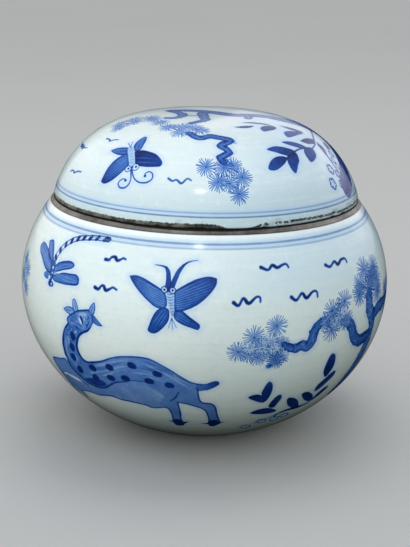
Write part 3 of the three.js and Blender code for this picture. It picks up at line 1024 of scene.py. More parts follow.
def cover_leaves(sheet):
    for outline in (
        [(33.8, -23.5), (33, -27.5), (30, -31), (27.5, -33.3), (25.8, -30.5), (27, -26.5), (30, -24)],
        [(48.5, -17), (46, -22.5), (43.5, -27), (40.5, -31.5), (39, -31.5), (37.7, -28.5), (39, -25),
         (43, -21)],
        [(53.5, -30.5), (56, -34), (55.5, -39), (53.5, -43), (51.5, -42.3), (49, -39), (49, -35), (51, -32)],
        [(50.5, -33.3), (46, -33.5), (41, -35.5), (37.5, -38), (36.7, -39.5), (40, -39.3), (45, -38),
         (49, -36)],
        [(43.5, -42.3), (39, -42.7), (34, -44.5), (31, -47), (29.3, -49.7), (34, -49.5), (39, -48.8),
         (44, -47)],
        [(44, -43), (46.5, -47), (46.3, -51), (45.8, -56.8), (43, -56), (40.5, -52.5), (40, -48.5)],
        [(40, -50), (39, -54.5), (36.5, -59), (34, -61.5), (31, -62), (31, -58.5), (33, -54), (36.5, -50.8)],
    ):
        leaf(sheet, outline, 0.91)
    for base, tip, width in (
        ((22.5, -28), (13, -33.2), 3.0), ((17, -25), (33, -23), 2.5), ((48, -16), (36, -19), 3.5),
        ((54, -18.5), (46.5, -30), 4.5), ((56, -19.5), (62.5, -26), 4.0), ((61, -10), (63.5, -17), 4.0),
    ):
        brushed_leaf(sheet, base, tip, width)
    sheet.stroke([(43.7, -42.5), (46.5, -38), (50, -34.5), (53.5, -30.5)], 0.8, 0.85)
    sheet.stroke([(53.5, -30.5), (55, -24), (54.5, -18), (54, -10), (53.5, 0)], (0.8, 1.2), 0.85)
    sheet.stroke([(40, -50), (43.7, -42.5)], 0.8, 0.85)
    sheet.stroke(
        [(57.6, -21.8), (60.2, -24.2), (63, -26), (66.7, -28.1), (70.7, -29.4), (75.5, -28.1)],
        (2.4, 1.4, 0.8), 0.9,
    )
    for centre, radius in (
        ((69.4, -43.8), 3.0), ((66.1, -35.4), 2.7), ((75.6, -36.4), 2.4), ((71.3, -32.6), 2.0),
        ((65.7, -19.2), 2.0), ((67.4, -24.4), 2.0), ((70.8, -25.2), 2.0),
    ):
        flower_ring(sheet, centre, radius, 0.86)
    branch(
        sheet, [(56, 8), (62, 4), (68, -3), (74, -11), (77.5, -18.5), (79.2, -26), (79.4, -33.4)],
        (9, 9, 9, 9.5, 11, 11.5, 10), tone=0.86, edge=0.96, seed=36,
    )


def paint_pot(flat_map):
    painting = Painting(flat_map)
    front = pot_sheet(painting, 0)
    deer(front)
    pot_butterfly(front)
    dragonfly(pot_sheet(painting, -50))
    left_pine_clump(front)
    right_pine(pot_sheet(painting, 40))
    edge_pine(pot_sheet(painting, 60))
    low_leaves(front)
    far_left = pot_sheet(painting, -60)
    needle_bursts(
        far_left, 320, ((-15.5, 113, 5.4), (-16, 104, 5.2), (-23, 109, 5.2), (-22, 117, 5)),
        tone=0.56, wash=0.3, heart=0.6,
    )
    for line in (
        [(-48, 131.6), (-46, 131.6), (-44.7, 133), (-42.7, 133.4), (-41.6, 131.9), (-39.7, 132.7),
         (-38.3, 133.5), (-37.2, 133)],
        [(-53.3, 118), (-51.3, 117.4), (-49.7, 119.1), (-48.3, 119.4), (-47.2, 117.6), (-45.2, 118.3),
         (-43.3, 119.4), (-41.3, 118.6)],
        [(26, 131.7), (29.5, 130.3), (31.5, 132.3), (34, 131), (36.5, 132), (38.5, 132.3), (39.8, 130.6)],
        [(61, 129), (64, 127.8), (67, 129.7), (69.4, 128), (72, 129.8), (75, 129.7), (76.3, 127.8)],
        [(13.5, 116.2), (15.8, 114.8), (18, 118), (20.5, 115.6), (24, 118.3), (25.8, 118), (26, 116)],
        [(41.3, 116.9), (44, 115.2), (47, 118), (49.5, 115.6), (53, 118), (55.3, 117.7), (55.9, 115.2)],
    ):
        squiggle(front, line)
    back = pot_sheet(painting, 150, mirror=True)
    deer(back)
    pot_butterfly(back)
    dragonfly(pot_sheet(painting, 203, mirror=True))
    left_pine_clump(pot_sheet(painting, 222))
    right_pine(pot_sheet(painting, 262, mirror=True, lifted=2))
    low_leaves(pot_sheet(painting, 212))
    low_leaves(pot_sheet(painting, 76))
    rises = ((-7, 0), (-4, -1.2), (-1.2, 0.8), (1, -1), (4, 1), (6, 0.8), (7, -1))
    for turn, up in ((168, 132), (186, 118), (212, 130), (228, 133), (112, 130), (104, 117)):
        squiggle(pot_sheet(painting, turn), [(across, up + rise) for across, rise in rises])
    return painting


def paint_cover(flat_map):
    painting = Painting(flat_map)
    front = cover_sheet(painting)
    cover_butterfly(front)
    cover_pine(front)
    cover_leaves(front)
    waves = (
        [(-50.5, -27.5), (-48.8, -30.4), (-48.6, -32.2), (-46.4, -33), (-44, -34.8)],
        [(-67.5, -11), (-66.6, -14), (-65, -16), (-64.6, -19.5), (-62.5, -23)],
        [(-75, -29.5), (-73, -32), (-72.4, -35), (-70, -37), (-67.5, -40.5)],
        [(-19, -71.8), (-17, -73.5), (-15, -73.1), (-12.5, -75.3), (-9.5, -73.2), (-7.5, -74.3)],
    )
    for line in waves:
        squiggle(front, line, width=0.7)
    back = cover_sheet(painting, 205, mirror=True)
    cover_butterfly(back)
    for line in waves:
        squiggle(back, line, width=0.85)
    cover_leaves(cover_sheet(painting, 250, mirror=True))
    back_pine = cover_sheet(painting, 128)
    needle_bursts(back_pine, 460, (
        (-0.2, -67.2, 5.3), (8.5, -67, 5.3), (18, -70.6, 5.3), (6, -75, 5.3), (17.2, -79.2, 5.3),
        (12, -75, 4.8), (-10, -60, 5), (-14, -66, 5), (-8, -70, 5),
    ))
    branch(
        back_pine,
        [(-6, -38), (-5.5, -46.5), (1.5, -45.5), (9.5, -47.3), (9, -50.8), (6.4, -53.2), (11, -57.5),
         (6.4, -61.5), (8.5, -64.3)],
        (4.0, 4.2, 4.0, 3.8, 3.6), seed=37,
    )
    return painting


# Shells: points and faces of one turned piece

def add_object(name, data):
    made = bpy.data.objects.new(name, data)
    bpy.context.scene.collection.objects.link(made)
    return made


def quads(lower, upper):
    """A face between each pair of neighbours on two rings of point numbers."""
    count = len(lower)
    return [(lower[i], lower[(i + 1) % count], upper[(i + 1) % count], upper[i]) for i in range(count)]


def triangulate(painting, rings, turn, end):
    """Triangles on the flat map, with edges along the rings and along the outline of every mark."""
    flat_map = painting.map
    wall = flat_map.wall
    count = len(turn)
    dots = [flat_map.lay(turn, np.full(count, run)) for run in rings]
    edges = [(k * count + i, k * count + (i + 1) % count) for k in range(len(rings)) for i in range(count)]
    total = count * len(rings)
    for mark in painting.marks:
        for line, closed in mark.outlines(flat_map.size(mark.line)):
            dots.append(line)
            edges.extend((i, i + 1) for i in range(total, total + len(line) - 1))
            if closed:
                edges.append((total + len(line) - 1, total))
            total += len(line)
    rows = max(2, int(round(end / skin_spacing)))
    for k in range(1, rows):
        run = end * k / rows
        around = max(6, int(round(FULL_TURN * np.interp(run, wall.run, wall.radius) / skin_spacing)))
        turns = (np.arange(around) + 0.5 * (k % 2)) / around * FULL_TURN
        dots.append(flat_map.lay(turns, np.full(around, run)))
    if len(rings) == 1:
        dots.append(np.zeros((1, 2)))
    corners = [Vector(dot) for dot in np.vstack(dots)]
    found, _, faces, _, _, _ = delaunay_2d_cdt(corners, edges, [], 0, merge_distance, True)
    return np.array([tuple(corner) for corner in found]), np.array(faces, int)


class Shell:
    """Collects one piece's points and faces, with each point's turn and length along the profile."""

    sharp_edge = math.radians(40)

    def __init__(self):
        self.points = np.zeros((0, 3))
        self.turns = np.zeros(0)
        self.runs = np.zeros(0)
        self.facing = np.zeros((0, 3))
        self.ink = np.zeros(0)
        self.stain = np.zeros(0)
        self.faces = []
        self.charts = []

    def add_points(self, points, turns, runs, facing=None, ink=None, stain=None):
        first = len(self.points)
        count = len(points)
        self.points = np.vstack([self.points, points])
        self.turns = np.concatenate([self.turns, turns])
        self.runs = np.concatenate([self.runs, runs])
        self.facing = np.vstack([self.facing, np.zeros((count, 3)) if facing is None else facing])
        self.ink = np.concatenate([self.ink, np.zeros(count) if ink is None else ink])
        self.stain = np.concatenate([self.stain, np.zeros(count) if stain is None else stain])
        return np.arange(first, first + count)

    def add_faces(self, faces, chart):
        self.faces.extend(tuple(int(i) for i in face) for face in faces)
        self.charts.extend([chart] * len(faces))

    def add_ring(self, radius, height, count, run):
        turn = np.arange(count) / count * FULL_TURN
        points = np.column_stack([*turned(turn, radius), np.full(count, height)])
        return self.add_points(points, turn, np.full(count, run))

    def add_rows(self, profile, ring, first_run, chart, outward=1):
        """Quads turned from a ring through each next point of the profile. A point on the axis closes it."""
        count = len(ring)
        run = first_run
        for (before, low), (radius, height) in zip(profile[:-1], profile[1:]):
            run += math.hypot(radius - before, height - low)
            if radius < tiny:
                tip = self.add_points(np.array([[0, 0, height]]), np.zeros(1), np.array([run]))[0]
                faces = [(ring[i], ring[(i + 1) % count], tip) for i in range(count)]
            else:
                above = self.add_ring(radius, height, count, run)
                faces = quads(ring, above)
                ring = above
            self.add_faces(faces if outward > 0 else [face[::-1] for face in faces], chart)
        return ring, run

    def add_skin(self, painting, end, count, first_run, flip):
        """The painted wall from its start to a length along its profile, meshed along the brush marks.
        Gives the point numbers of its rings: at its start, unless that is on the axis, and at its end."""
        flat_map = painting.map
        wall = flat_map.wall
        turn = np.arange(count) / count * FULL_TURN
        limits = np.interp((0.0, end), wall.run, flat_map.reach)
        rings = [run for run, reach in zip((0.0, end), limits) if reach > ring_tolerance]
        flat, faces = triangulate(painting, rings, turn, end)
        centre = flat[faces].mean(1)
        centre_reach = np.hypot(centre[:, 0], centre[:, 1])
        slack = math.cos(math.pi / count)
        faces = faces[(centre_reach < limits[1]) & (centre_reach > limits[0] * slack)]
        used, faces = np.unique(faces, return_inverse=True)
        faces = faces.reshape(-1, 3)
        flat = flat[used]
        turns, runs = flat_map.find(flat)
        ink, stain = painting.paint(flat)
        place = wall.place(turns, runs)
        number = self.add_points(place, turns, first_run + runs, wall.facing(turns, runs), ink, stain)
        if flip:
            faces = faces[:, ::-1]
        self.add_faces((faces + number[0]).tolist(), 0)
        reach = np.hypot(flat[:, 0], flat[:, 1])
        found_rings = []
        for ring_reach in np.interp(rings, wall.run, flat_map.reach):
            on_ring = np.flatnonzero(np.abs(reach - ring_reach) < ring_tolerance)
            which = np.round(turns[on_ring] / FULL_TURN * count).astype(int) % count
            ring = np.zeros(count, int)
            ring[which] = number[on_ring]
            found_rings.append(ring)
        return found_rings

    def build(self, name, charts, material):
        """Make the object. `charts` turns each face's points into places on the texture square."""
        mesh = bpy.data.meshes.new(name)
        mesh.from_pydata((self.points * MM).tolist(), [], self.faces)
        for layer, values in (("ink", self.ink), ("stain", self.stain)):
            mesh.attributes.new(layer, "FLOAT", "POINT").data.foreach_set("value", values.astype(np.float32))
        layer = mesh.uv_layers.new(name="OFBake")
        layer.data.foreach_set("uv", self.unfolded(charts).astype(np.float32).ravel())
        mesh.polygons.foreach_set("use_smooth", [True] * len(mesh.polygons))
        mesh.set_sharp_from_angle(angle=self.sharp_edge)
        if np.abs(self.facing).max() > 0:
            mesh.normals_split_custom_set_from_vertices(self.facing.tolist())
        mesh.materials.append(material)
        return add_object(name, mesh)

    def unfolded(self, charts):
        """The place on the texture square of every corner of every face. The turns of a face that lies
        across turn 0 are counted on from those of its first corner."""
        corners = np.array([point for face in self.faces for point in face])
        lengths = np.array([len(face) for face in self.faces])
        face_of = np.repeat(np.arange(len(self.faces)), lengths)
        chart_of = np.array(self.charts)[face_of]
        turns = self.turns[corners]
        first = np.repeat(np.cumsum(lengths) - lengths, lengths)
        anchor = turns[first]
        turns = anchor + (turns - anchor + math.pi) % FULL_TURN - math.pi
        middle = np.bincount(face_of, turns)[face_of] / lengths[face_of]
        uv = np.zeros((len(corners), 2))
        for chart, place in enumerate(charts):
            here = chart_of == chart
            uv[here] = place(turns[here], self.runs[corners[here]], middle[here])
        return uv


def strip_chart(strips, first_run, width, height, scale, gap=3.0):
    """A wall cut into equal strips, laid one above another in rows of two."""
    share = FULL_TURN / strips

    def place(turn, run, middle):
        number = np.floor((middle % FULL_TURN) / share)
        start = middle - (middle % share)
        across = (turn - start) / share * width
        column, row = number % 2, number // 2
        return np.column_stack([
            (column * (width + 2 * gap) + gap + across) * scale,
            (row * (height + gap) + gap + run - first_run) * scale,
        ])

    return place


def disc_chart(centre, scale, zero_run, sign=1):
    """A wall laid flat round one centre. `sign` is -1 where the wall's last point lies there."""
    def place(turn, run, middle):
        return np.column_stack(turned(turn, (run - zero_run) * sign * scale)) + centre

    return place


# Colours of the glaze, the paint, the clay and the dirt, and of painted light and shade

pot_tint = (0.735, 0.82, 0.84, 1)
cover_tint = (0.72, 0.805, 0.835, 1)
misty_green = (0.66, 0.75, 0.72, 1)
warm_white = (0.82, 0.83, 0.72, 1)
# Painted light and shade on the glaze: a paler belly, a darker foot, a darker right shoulder, a highlight
# under the band and a darker lower cover
painted_belly_light = (0.81, 0.87, 0.84, 1)
painted_foot_shade = (0.37, 0.44, 0.43, 1)
painted_shoulder_shade = (0.56, 0.73, 0.86, 1)
painted_highlight_under_band = (0.92, 0.92, 0.93, 1)
painted_cover_foot_shade = (0.50, 0.63, 0.69, 1)
streak_white = (0.86, 0.90, 0.88, 1)
streak_grey = (0.60, 0.69, 0.71, 1)
mottle_grey = (0.58, 0.68, 0.70, 1)
mottle_white = (0.90, 0.94, 0.93, 1)
speck_brown = (0.16, 0.13, 0.10, 1)
stain_blue = (0.44, 0.60, 0.84, 1)
ring_blue = (0.10, 0.21, 0.36, 1)
pot_clay = (0.46, 0.41, 0.33, 1)
soiled_pot_clay = (0.16, 0.13, 0.10, 1)
cover_clay = (0.21, 0.20, 0.165, 1)
soiled_cover_clay = (0.03, 0.031, 0.026, 1)
# Near black for the cover's painted seam shadow and its darkened front strip
near_black = (0.006, 0.006, 0.005, 1)
scratched_brass = (0.34, 0.31, 0.27, 1)
# Black for the band's dirt and painted shade
dirt_and_shade_black = (0.012, 0.011, 0.010, 1)


# Materials

class Nodes:
    """A shader's tree, with a short way to add each kind of node."""

    bump_strength = 0.35

    def __init__(self, tree):
        self.tree = tree

    def feed(self, socket, value):
        if isinstance(value, bpy.types.NodeSocket):
            self.tree.links.new(value, socket)
        else:
            socket.default_value = value

    def add(self, kind, inputs, **settings):
        made = self.tree.nodes.new("ShaderNode" + kind)
        for key, value in settings.items():
            setattr(made, key, value)
        for key, value in inputs.items():
            self.feed(made.inputs[key], value)
        return made.outputs

    def group(self, tree, inputs):
        return self.add("Group", inputs, node_tree=tree)

    def calc(self, operation, first, second=0.0, third=0.0, clamp=False):
        return self.add("Math", {0: first, 1: second, 2: third}, operation=operation, use_clamp=clamp)[0]

    def plus(self, first, second):
        return self.calc("ADD", first, second)

    def less(self, first, second):
        return self.calc("SUBTRACT", first, second)

    def times(self, first, second, clamp=False):
        return self.calc("MULTIPLY", first, second, clamp=clamp)

    def largest(self, first, second):
        return self.calc("MAXIMUM", first, second)

    def scaled(self, value, factor, offset, clamp=False):
        return self.calc("MULTIPLY_ADD", value, factor, offset, clamp)

    def swing(self, value, width):
        """A value from 0 to 1, turned into one that swings evenly about zero."""
        return self.scaled(value, width, -width / 2)

    def spread(self, value, low, high, to_low=0.0, to_high=1.0):
        """A value that runs smoothly from one end to the other as another value passes between two limits."""
        limits = {"From Min": low, "From Max": high, "To Min": to_low, "To Max": to_high}
        return self.add("MapRange", {"Value": value, **limits}, interpolation_type="SMOOTHSTEP")["Result"]

    def over(self, length, low, high, to_low=0.0, to_high=1.0):
        """The same, for a length between two limits in millimetres."""
        return self.spread(length, low * MM, high * MM, to_low, to_high)

    def blend(self, share, first, second):
        return self.add("Mix", {0: share, 2: first, 3: second}, data_type="FLOAT")[0]

    def mix(self, share, first, second):
        return self.add("Mix", {0: share, 6: first, 7: second}, data_type="RGBA")[2]

    def grain(self, vector, scale, detail=2.0, roughness=0.5):
        inputs = {"Vector": vector, "Scale": scale, "Detail": detail, "Roughness": roughness}
        return self.add("TexNoise", inputs)["Fac"]

    def long_grain(self, vector, scale, detail=2.0, roughness=0.5):
        """Grain with a scale of its own along each axis."""
        stretched = self.add("Mapping", {"Vector": vector, "Scale": scale})["Vector"]
        return self.grain(stretched, 1.0, detail, roughness)

    def attribute(self, name):
        return self.add("Attribute", {}, attribute_name=name)["Fac"]

    def axes(self, vector):
        return self.add("SeparateXYZ", {"Vector": vector})

    def distance(self, vector):
        return self.add("VectorMath", {0: vector}, operation="LENGTH")["Value"]

    def radius(self, vector):
        """The distance from the turning axis."""
        level = self.add("VectorMath", {0: vector, 1: (1, 1, 0)}, operation="MULTIPLY")
        return self.distance(level["Vector"])

    def bump(self, height, depth):
        inputs = {"Height": height, "Strength": self.bump_strength, "Distance": depth * MM}
        return self.add("Bump", inputs)["Normal"]

    def colour_steps(self, value, steps):
        made = self.tree.nodes.new("ShaderNodeValToRGB")
        self.feed(made.inputs["Fac"], value)
        ramp = made.color_ramp
        for element, (place, colour) in zip(ramp.elements, (steps[0], steps[-1])):
            element.position, element.color = place, (*colour, 1)
        for place, colour in steps[1:-1]:
            ramp.elements.new(place).color = (*colour, 1)
        return made.outputs["Color"]


def new_group(name, inputs, outputs):
    """A node group. `inputs` and `outputs` give the kind of each named socket."""
    tree = bpy.data.node_groups.new(name, "ShaderNodeTree")
    for sockets, way in ((inputs, "INPUT"), (outputs, "OUTPUT")):
        for label, kind in sockets.items():
            tree.interface.new_socket(label, in_out=way, socket_type="NodeSocket" + kind)
    given = tree.nodes.new("NodeGroupInput").outputs
    return tree, Nodes(tree), given, tree.nodes.new("NodeGroupOutput").inputs


def brushed_ring_group():
    """A line painted round the turning pot: its thickness and strength wander a little."""
    group, nodes, given, out = new_group(
        "brushed_ring", {"Vector": "Vector", "Height": "Float", "Width": "Float"}, {"Mask": "Float"}
    )
    axes = nodes.axes(given["Vector"])
    slow = nodes.grain(given["Vector"], 16.0)
    fine = nodes.grain(given["Vector"], 260.0, 3.0)
    height = nodes.scaled(axes["Y"], -ring_dip, axes["Z"])
    line = nodes.scaled(given["Height"], MM, nodes.swing(slow, 0.4 * MM))
    away = nodes.calc("ABSOLUTE", nodes.less(height, line))
    press = nodes.scaled(fine, 0.4, 0.8)
    half = nodes.times(nodes.times(given["Width"], 0.5 * MM), press)
    mask = nodes.spread(nodes.calc("DIVIDE", away, half), 1.5, 0.6)
    nodes.feed(out["Mask"], nodes.times(mask, nodes.scaled(fine, 0.3, 0.85)))
    return group


def cobalt_group():
    """Cobalt blue under the glaze: thin where the brush was wet, nearly black where it pooled."""
    group, nodes, given, out = new_group(
        "cobalt_blue",
        {"Vector": "Vector", "Ink": "Float", "Stain": "Float", "Glaze": "Color"},
        {"Color": "Color"},
    )
    pool = nodes.grain(given["Vector"], 130.0, 4.0, 0.6)
    streak = nodes.long_grain(given["Vector"], (420.0, 420.0, 900.0), 3.0, 0.65)
    vary = nodes.plus(nodes.swing(pool, 0.34), nodes.swing(streak, 0.22))
    # Middling strengths vary most, and bare glaze and full blue the least
    room = nodes.times(given["Ink"], nodes.less(1.25, given["Ink"]))
    ink = nodes.calc("ADD", given["Ink"], nodes.times(vary, nodes.times(room, 2.6)), clamp=True)
    blue = nodes.colour_steps(ink, (
        (0.0, (0.62, 0.73, 0.83)),
        (0.18, (0.38, 0.55, 0.77)),
        (0.4, (0.14, 0.27, 0.60)),
        (0.6, (0.052, 0.162, 0.48)),
        (0.76, (0.019, 0.083, 0.36)),
        (0.88, (0.009, 0.038, 0.22)),
        (1.0, (0.005, 0.016, 0.095)),
    ))
    shown = nodes.times(ink, 5.5, clamp=True)
    stained = nodes.mix(nodes.times(given["Stain"], 0.72), given["Glaze"], stain_blue)
    nodes.feed(out["Color"], nodes.mix(shown, stained, blue))
    return group


def glaze_group():
    """The clear, faintly blue-green glaze over the white body: its tint, its specks and its soft ripple, with
    painted light and shade mixed into its colour.
    """
    group, nodes, given, out = new_group(
        "porcelain_glaze",
        {"Vector": "Vector", "Tint": "Color"},
        {"Color": "Color", "Roughness": "Float", "Height": "Float"},
    )
    here = given["Vector"]
    axes = nodes.axes(here)
    height = axes["Z"]
    # Painted light and shade that change with the place on the pot: limits in millimetres, and how far it
    # changes
    # Painted light: the lower belly is made paler
    belly_light = nodes.over(height, 105, 70, 0, 0.65)
    # Painted shade: the glaze darkens and greys towards the foot
    foot_shade = nodes.over(height, 38, 6, 0, 0.8)
    # Painted shade: the right shoulder is made bluer and darker
    shoulder_shade = nodes.times(nodes.over(axes["X"], -5, 45), nodes.over(height, 80, 105))
    # Painted highlight: a white line on the glaze just under the band
    under_band = nodes.times(nodes.over(height, 114.8, 116.4), nodes.over(height, 118, 117.5))
    # Painted shade: the cover's lower side is made darker and bluer
    cover_foot_shade = nodes.times(nodes.over(height, 144, 126), nodes.over(height, 118, 119))
    # Where it changes by chance
    cloud = nodes.grain(here, 22.0, 3.0, 0.55)
    warm = nodes.long_grain(here, (14.0, 14.0, 30.0))
    streak = nodes.long_grain(here, (16.0, 16.0, 420.0), 4.0, 0.6)
    mottle = nodes.grain(here, 330.0, 4.0, 0.7)
    cells = nodes.add("TexVoronoi", {"Vector": here, "Scale": 95.0}, feature="F1")
    picked = nodes.add("SeparateColor", {"Color": cells["Color"]})["Red"]
    speck = nodes.times(nodes.spread(cells["Distance"], 0.055, 0.02), nodes.spread(picked, 0.955, 0.965))
    tint = given["Tint"]
    for share, colour in (
        (nodes.scaled(cloud, 0.5, -0.08, clamp=True), misty_green),
        (nodes.spread(warm, 0.52, 0.72, 0, 0.22), warm_white),
        (belly_light, painted_belly_light),
        (foot_shade, painted_foot_shade),
        (nodes.times(shoulder_shade, 0.5), painted_shoulder_shade),
        (nodes.times(under_band, 0.65), painted_highlight_under_band),
        (nodes.times(cover_foot_shade, 0.6), painted_cover_foot_shade),
        (nodes.spread(streak, 0.5, 0.68, 0, 0.3), streak_white),
        (nodes.spread(streak, 0.46, 0.3, 0, 0.2), streak_grey),
        (nodes.spread(mottle, 0.52, 0.72, 0, 0.3), mottle_grey),
        (nodes.spread(mottle, 0.46, 0.28, 0, 0.3), mottle_white),
        (nodes.times(speck, 0.7), speck_brown),
    ):
        tint = nodes.mix(share, tint, colour)
    nodes.feed(out["Color"], tint)
    smear = nodes.grain(here, 60.0, 4.0, 0.6)
    nodes.feed(out["Roughness"], nodes.scaled(smear, 0.10, 0.09))
    ripple = nodes.long_grain(here, (26.0, 26.0, 60.0))
    orange_peel = nodes.grain(here, 420.0, 2.0)
    relief = nodes.plus(nodes.times(ripple, 0.5), nodes.times(orange_peel, 0.03))
    nodes.feed(out["Height"], nodes.less(relief, nodes.times(speck, 0.05)))
    return group


def bare_clay_group():
    """Clay that no glaze covers: gritty, and darkened where hands and the seat have rubbed it."""
    group, nodes, given, out = new_group(
        "bare_clay",
        {"Vector": "Vector", "Clean": "Color", "Soiled": "Color"},
        {"Color": "Color", "Roughness": "Float", "Height": "Float"},
    )
    patch = nodes.grain(given["Vector"], 170.0, 5.0, 0.7)
    grit = nodes.grain(given["Vector"], 1500.0, 3.0, 0.7)
    soil = nodes.spread(nodes.plus(patch, nodes.times(grit, 0.35)), 0.5, 0.85)
    nodes.feed(out["Color"], nodes.mix(soil, given["Soiled"], given["Clean"]))
    nodes.feed(out["Roughness"], nodes.scaled(grit, 0.25, 0.6))
    nodes.feed(out["Height"], nodes.plus(nodes.times(patch, 0.6), nodes.times(grit, 0.25)))
    return group


brushed_ring = brushed_ring_group()
cobalt_blue = cobalt_group()
porcelain_glaze = glaze_group()
bare_clay = bare_clay_group()


def new_material(name):
    material = bpy.data.materials.new(name)
    material.use_nodes = True
    tree = material.node_tree
    tree.nodes.clear()
    nodes = Nodes(tree)
    shader = tree.nodes.new("ShaderNodeBsdfPrincipled")
    nodes.add("OutputMaterial", {"Surface": shader.outputs["BSDF"]})
    return material, nodes, shader.inputs, nodes.add("TexCoord", {})["Object"]


def painted_glaze(name, tint, rings, ring_radius, clean_clay, soiled_clay, bare_mask):
    """Glazed and painted porcelain. The rings show only past `ring_radius`, which is inside the wall.
    `bare_mask` says where the clay shows, and where it is darkened to near black: painted shadow in the seam,
    and a darkened strip."""
    material, nodes, shader, here = new_material(name)
    glaze = nodes.group(porcelain_glaze, {"Vector": here, "Tint": tint})
    height = nodes.axes(here)["Z"]
    ring = 0.0
    for level, width, strength in rings:
        line = nodes.group(brushed_ring, {"Vector": here, "Height": level, "Width": width})["Mask"]
        ring = nodes.largest(ring, nodes.times(line, strength))
    # A thin wash of blue fills the space between the two rings
    middle = (rings[0][0] + rings[1][0]) / 2
    half = rings[0][0] - middle
    away = nodes.calc("ABSOLUTE", nodes.less(height, middle * MM))
    wash = nodes.over(away, half + 1.4, half, 0, 0.95)
    on_outside = nodes.over(nodes.radius(here), ring_radius - 0.5, ring_radius + 0.5)
    ring = nodes.times(ring, on_outside)
    stain = nodes.largest(nodes.attribute("stain"), nodes.times(wash, on_outside))
    paint = nodes.group(
        cobalt_blue, {"Vector": here, "Ink": nodes.attribute("ink"), "Stain": stain, "Glaze": glaze["Color"]}
    )
    painted = nodes.mix(ring, paint["Color"], ring_blue)
    bare, seam_shadow_and_black_strip = bare_mask(nodes, here, height)
    clay = nodes.group(bare_clay, {"Vector": here, "Clean": clean_clay, "Soiled": soiled_clay})
    colour = nodes.mix(bare, painted, clay["Color"])
    # Near black over the colour: painted shadow in the cover's seam, and its darkened front strip
    nodes.feed(shader["Base Color"], nodes.mix(seam_shadow_and_black_strip, colour, near_black))
    nodes.feed(shader["Roughness"], nodes.blend(bare, glaze["Roughness"], clay["Roughness"]))
    relief = nodes.plus(glaze["Height"], nodes.times(clay["Height"], bare))
    relief = nodes.less(relief, nodes.times(bare, 0.25))
    nodes.feed(shader["Normal"], nodes.bump(relief, 0.4))
    shader["IOR"].default_value = 1.45
    shader["Specular IOR Level"].default_value = 0.32
    return material


def pot_bare_mask(nodes, here, height):
    """The foot rim is ground bare, with the glaze ending in an uneven line just above it."""
    wander = nodes.grain(here, 90.0, 3.0)
    edge = nodes.scaled(wander, 0.9 * MM, 0.05 * MM)
    return nodes.over(nodes.less(height, edge), 0.12, -0.12), 0.0


def cover_bare_mask(nodes, here, height):
    """The cover's edge is bare and dark: a full strip on the left, almost none at the front, and
    scattered patches on the right. The seam below it is painted near black as shadow, and the thin strip at
    the front is darkened to near black."""
    axes = nodes.axes(here)
    across = axes["X"]
    above = nodes.less(height, seat_height * MM)
    slow = nodes.grain(here, 40.0, 2.0)
    ragged = nodes.grain(here, 420.0, 4.0, 0.7)
    fine = nodes.grain(here, 1300.0, 3.0, 0.7)
    patches = nodes.grain(here, 330.0, 4.0, 0.75)
    # The strip's height at each turn, and its uneven upper edge
    left = nodes.over(across, 14, 3, 0.0, 2.3 * MM)
    right = nodes.over(across, 16, 29, 0.0, 2.5 * MM)
    back = nodes.over(axes["Y"], -5, 30, 0.0, 2.2 * MM)
    tall = nodes.largest(nodes.largest(left, right), back)
    wander = nodes.plus(nodes.swing(slow, 1.0 * MM), nodes.swing(ragged, 1.3 * MM))
    wander = nodes.plus(wander, nodes.swing(fine, 0.9 * MM))
    wander = nodes.times(wander, nodes.over(tall, 0.1, 0.9, 0.3, 1.25))
    below_edge = nodes.less(above, nodes.plus(tall, wander))
    strip = nodes.over(below_edge, 0.2, -0.2)
    # Glaze that is left in patches on the right
    patchy = nodes.times(nodes.over(across, 4, 14), 0.9)
    gone = nodes.over(across, 38, 62, 0.0, -0.11)
    missing = nodes.times(patchy, nodes.spread(nodes.plus(patches, gone), 0.49, 0.54))
    deep = nodes.times(nodes.over(below_edge, -0.85, -1.3, 0.0, 0.75), nodes.over(across, 14, 26))
    strip = nodes.times(strip, nodes.less(1.0, nodes.largest(missing, deep)))
    # The seam above the seat, bare and with painted shadow, and the underside
    seam = nodes.over(nodes.plus(above, nodes.times(wander, -0.3)), 0.55, 0.25)
    outside = nodes.over(nodes.distance(here), 141, 141.5)
    under = nodes.over(above, 0.05, -0.05)
    bare = nodes.times(nodes.largest(strip, seam), nodes.largest(outside, under))
    # The bare strip at the front is darkened towards black
    front = nodes.times(nodes.over(across, -14, 4), nodes.over(across, 64, 42))
    black = nodes.times(nodes.times(strip, front), 0.62)
    seam_shadow_and_black_strip = nodes.times(nodes.largest(nodes.times(seam, 0.92), black), outside)
    return bare, seam_shadow_and_black_strip


